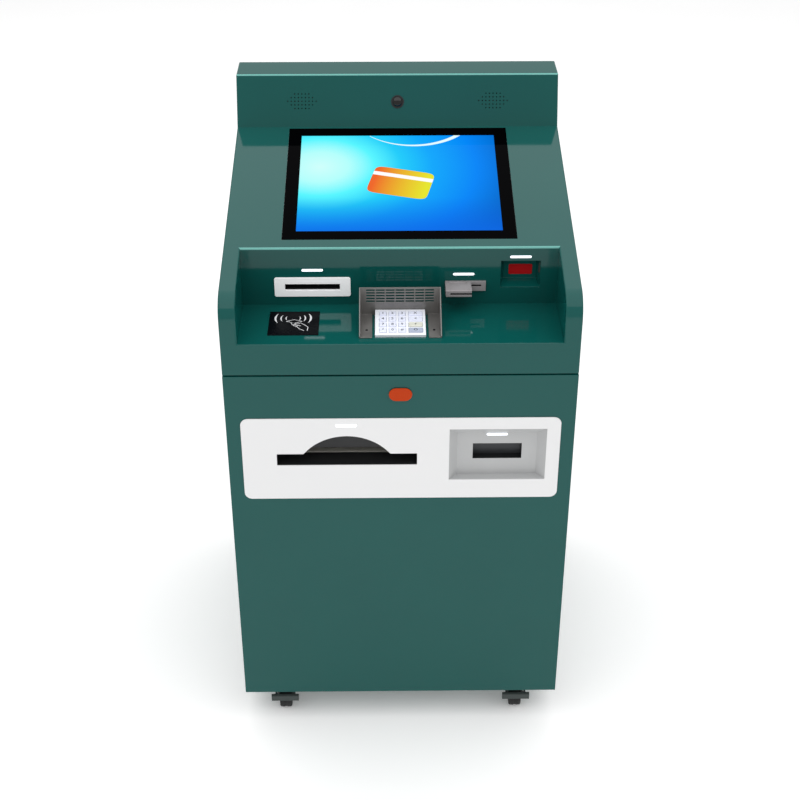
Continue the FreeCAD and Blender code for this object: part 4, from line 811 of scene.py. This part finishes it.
signs = {"left": "*", "right": "#", "cancel": "X", "clear": "<", "help": "+", "enter": "O"}
for node in sorted(frame["nodes"]):
    if not node.startswith("key_"):
        continue
    mark = node[4:]
    cap_finish = {"help": key_yellow, "enter": key_blue}.get(mark, key_pale)
    letters = bpy.data.curves.new(node + "_legend", "FONT")
    letters.body = signs.get(mark, mark)
    letters.size = 9 * MM
    letters.extrude = 0.01 * MM
    letters.offset = 0.12 * MM
    letters.align_x = letters.align_y = "CENTER"
    letters.resolution_u = 3
    written = bpy.data.objects.new(node + "_legend", letters)
    bpy.context.scene.collection.objects.link(written)
    evaluated = written.evaluated_get(bpy.context.evaluated_depsgraph_get())
    legend_mesh = bpy.data.meshes.new_from_object(evaluated)
    bpy.data.objects.remove(written)
    low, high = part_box(node)
    middle = (low + high) / 2
    face_up = max(v.co.dot(key_normal) for v in frame["nodes"][node].data.vertices)
    cap_middle = middle + key_normal * (face_up - middle.dot(key_normal) + legend_lift)
    legend_mesh.transform(Matrix.Translation(cap_middle) @ Matrix.Rotation(PLATE, 4, "X"))
    legend = bpy.data.objects.new(node + "_legend", legend_mesh)
    bpy.context.scene.collection.objects.link(legend)
    finished(node, cap_finish, 0.25)
    dress(legend, node, dark_ink)

# ---------------------------------------------------------------- Privacy guard
# Brushed stainless sheet, punched and folded round the keypad and screwed to the shelf through its
# two feet. The brushing runs across it, so highlights are drawn out upwards. It is half metallic
# here, so that it does not go black where it faces the dark side of the alcove.
stainless = finish("brushed_stainless_steel", "706E6C", "868482", 0.03, (0.28, 0.4), 0.35 * MM, 0.02 * MM,
                   stretch=(0.04, 1, 1), Metallic=0.5)
finished("pin_guard", stainless, 0.45, 2)

# A screw is a low cone with a hexagonal socket, standing on each point along one direction.
screw_tree, given = geometry_tree("socket_screws", [
    ("Radius", "Float"), ("Height", "Float"), ("Facing", "Vector")])
taper = add(screw_tree, "ShaderNodeMath", {"operation": "MULTIPLY"}, {0: (given, "Radius"), 1: 0.72})
socket_size = add(screw_tree, "ShaderNodeMath", {"operation": "MULTIPLY"}, {0: (given, "Radius"), 1: 0.45})
socket_rise = add(screw_tree, "ShaderNodeCombineXYZ", {}, {"Z": (given, "Height")})
head = add(screw_tree, "GeometryNodeMeshCone", {}, {
    "Vertices": 24, "Radius Top": (taper, 0), "Radius Bottom": (given, "Radius"), "Depth": (given, "Height")})
socket = add(screw_tree, "GeometryNodeMeshCylinder", {}, {
    "Vertices": 6, "Radius": (socket_size, 0), "Depth": (given, "Height")})
lifted = add(screw_tree, "GeometryNodeTransform", {}, {
    "Geometry": (socket, 0), "Translation": (socket_rise, 0)})
bored = add(screw_tree, "GeometryNodeMeshBoolean", {"operation": "DIFFERENCE"}, {
    "Mesh 1": (head, 0), "Mesh 2": (lifted, 0)})
turned_to = add(screw_tree, "FunctionNodeAlignRotationToVector", {"axis": "Z"}, {"Vector": (given, "Facing")})
stood = add(screw_tree, "GeometryNodeInstanceOnPoints", {}, {
    "Points": (given, "Geometry"), "Instance": (bored, 0), "Rotation": (turned_to, 0)})
end_tree(screw_tree, given, (stood, 0))
dark_zinc = finish("black_zinc_screw", "242426", "303033", 0.01, (0.3, 0.4), 0.5 * MM, 0.01 * MM,
                   Metallic=0.8)
screw_x, screw_in, foot_top = 60 * MM, 47 * MM, 1.9 * MM
seats = [(side * screw_x, front + screw_in, shelf + foot_top) for side in (-1, 1)]
screws = grow("guard_screws", screw_tree, seats, radius=2.6 * MM, height=1.1 * MM, facing=(0, 0, 1),
              material=dark_zinc)
dress(screws, "cabinet")

# ---------------------------------------------------------------- Rear door
# A second folded pan in the same green, with two banks of louvre slots for cooling air.
finished("rear_door", green_paint, 0.6)

# ---------------------------------------------------------------- Castors
# Plate castors in black-coated pressed steel with rubber-tyred wheels. The front pair swivels and
# has a wide foot brake.
black_coat = finish("black_coated_pressed_steel", "3A4140", "444B4A", 0.03, (0.35, 0.5), 1.2 * MM, 0.03 * MM,
                    Metallic=0.4)
tyre_rubber = finish("moulded_black_rubber", "101011", "18181A", 0.01, (0.6, 0.75), 0.7 * MM, 0.05 * MM)
hub_grey = finish("moulded_grey_hub", "4A4C50", "55575B", 0.01, (0.4, 0.5), 0.8 * MM, 0.02 * MM)
finished("castor_brackets", black_coat, 0.5)
tread = [(9, -12), (20.5, -12), (21.5, -11.2), (23.2, -12), (24.6, -10.4), (25, -8), (25, -3), (24.2, -2.4),
         (24.2, 2.4), (25, 3), (25, 8), (24.6, 10.4), (23.2, 12), (21.5, 11.2), (20.5, 12), (9, 12), (9, -12)]
hub = [(4.1, -13.6), (8.6, -13.6), (9.1, -12.5), (9.1, 12.5), (8.6, 13.6), (4.1, 13.6), (4.1, -13.6)]
for side in ("left", "right"):
    finished("castor_fork_" + side, black_coat, 0.5)
    finished("brake_pedal_" + side, black_coat, 0.6)
    for place in ("front", "rear"):
        node = "wheel_" + place + "_" + side
        low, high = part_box(node)
        for label, profile, steps, material, stands_for in (
                ("_tyre", tread, 64, tyre_rubber, (node,)), ("_hub", hub, 40, hub_grey, ())):
            work = bmesh.new()
            turned(work, in_mm(profile), (low + high) / 2, (1, 0, 0), steps)
            part = new_piece(node + label, work)
            smooth(part)
            dress(part, node, material, stands_for)

# ---------------------------------------------------------------- Equipment inside
# A galvanised rack with the document printer and the control computer, and beside it the cash
# dispenser over its three lockable note cassettes.
galvanised = finish("galvanised_steel", "9DA1A4", "B4B8BA", 0.015, (0.35, 0.5), 1.0 * MM, 0.02 * MM,
                    Metallic=0.9)
beige_abs = finish("moulded_light_grey_abs", "BDBBB2", "C8C6BE", 0.06, (0.42, 0.52), 0.9 * MM, 0.02 * MM)
cassette_abs = finish("moulded_dark_blue_abs", "2A3138", "343C44", 0.05, (0.4, 0.5), 0.9 * MM, 0.02 * MM)
finished("equipment_rack", galvanised, 0.5)
finished("document_printer", beige_abs, 1.0, 3)
finished("cash_dispenser", galvanised, 0.6)
finished("cash_cassettes", cassette_abs, 0.8)
finished("control_computer", black_coat, 0.8)
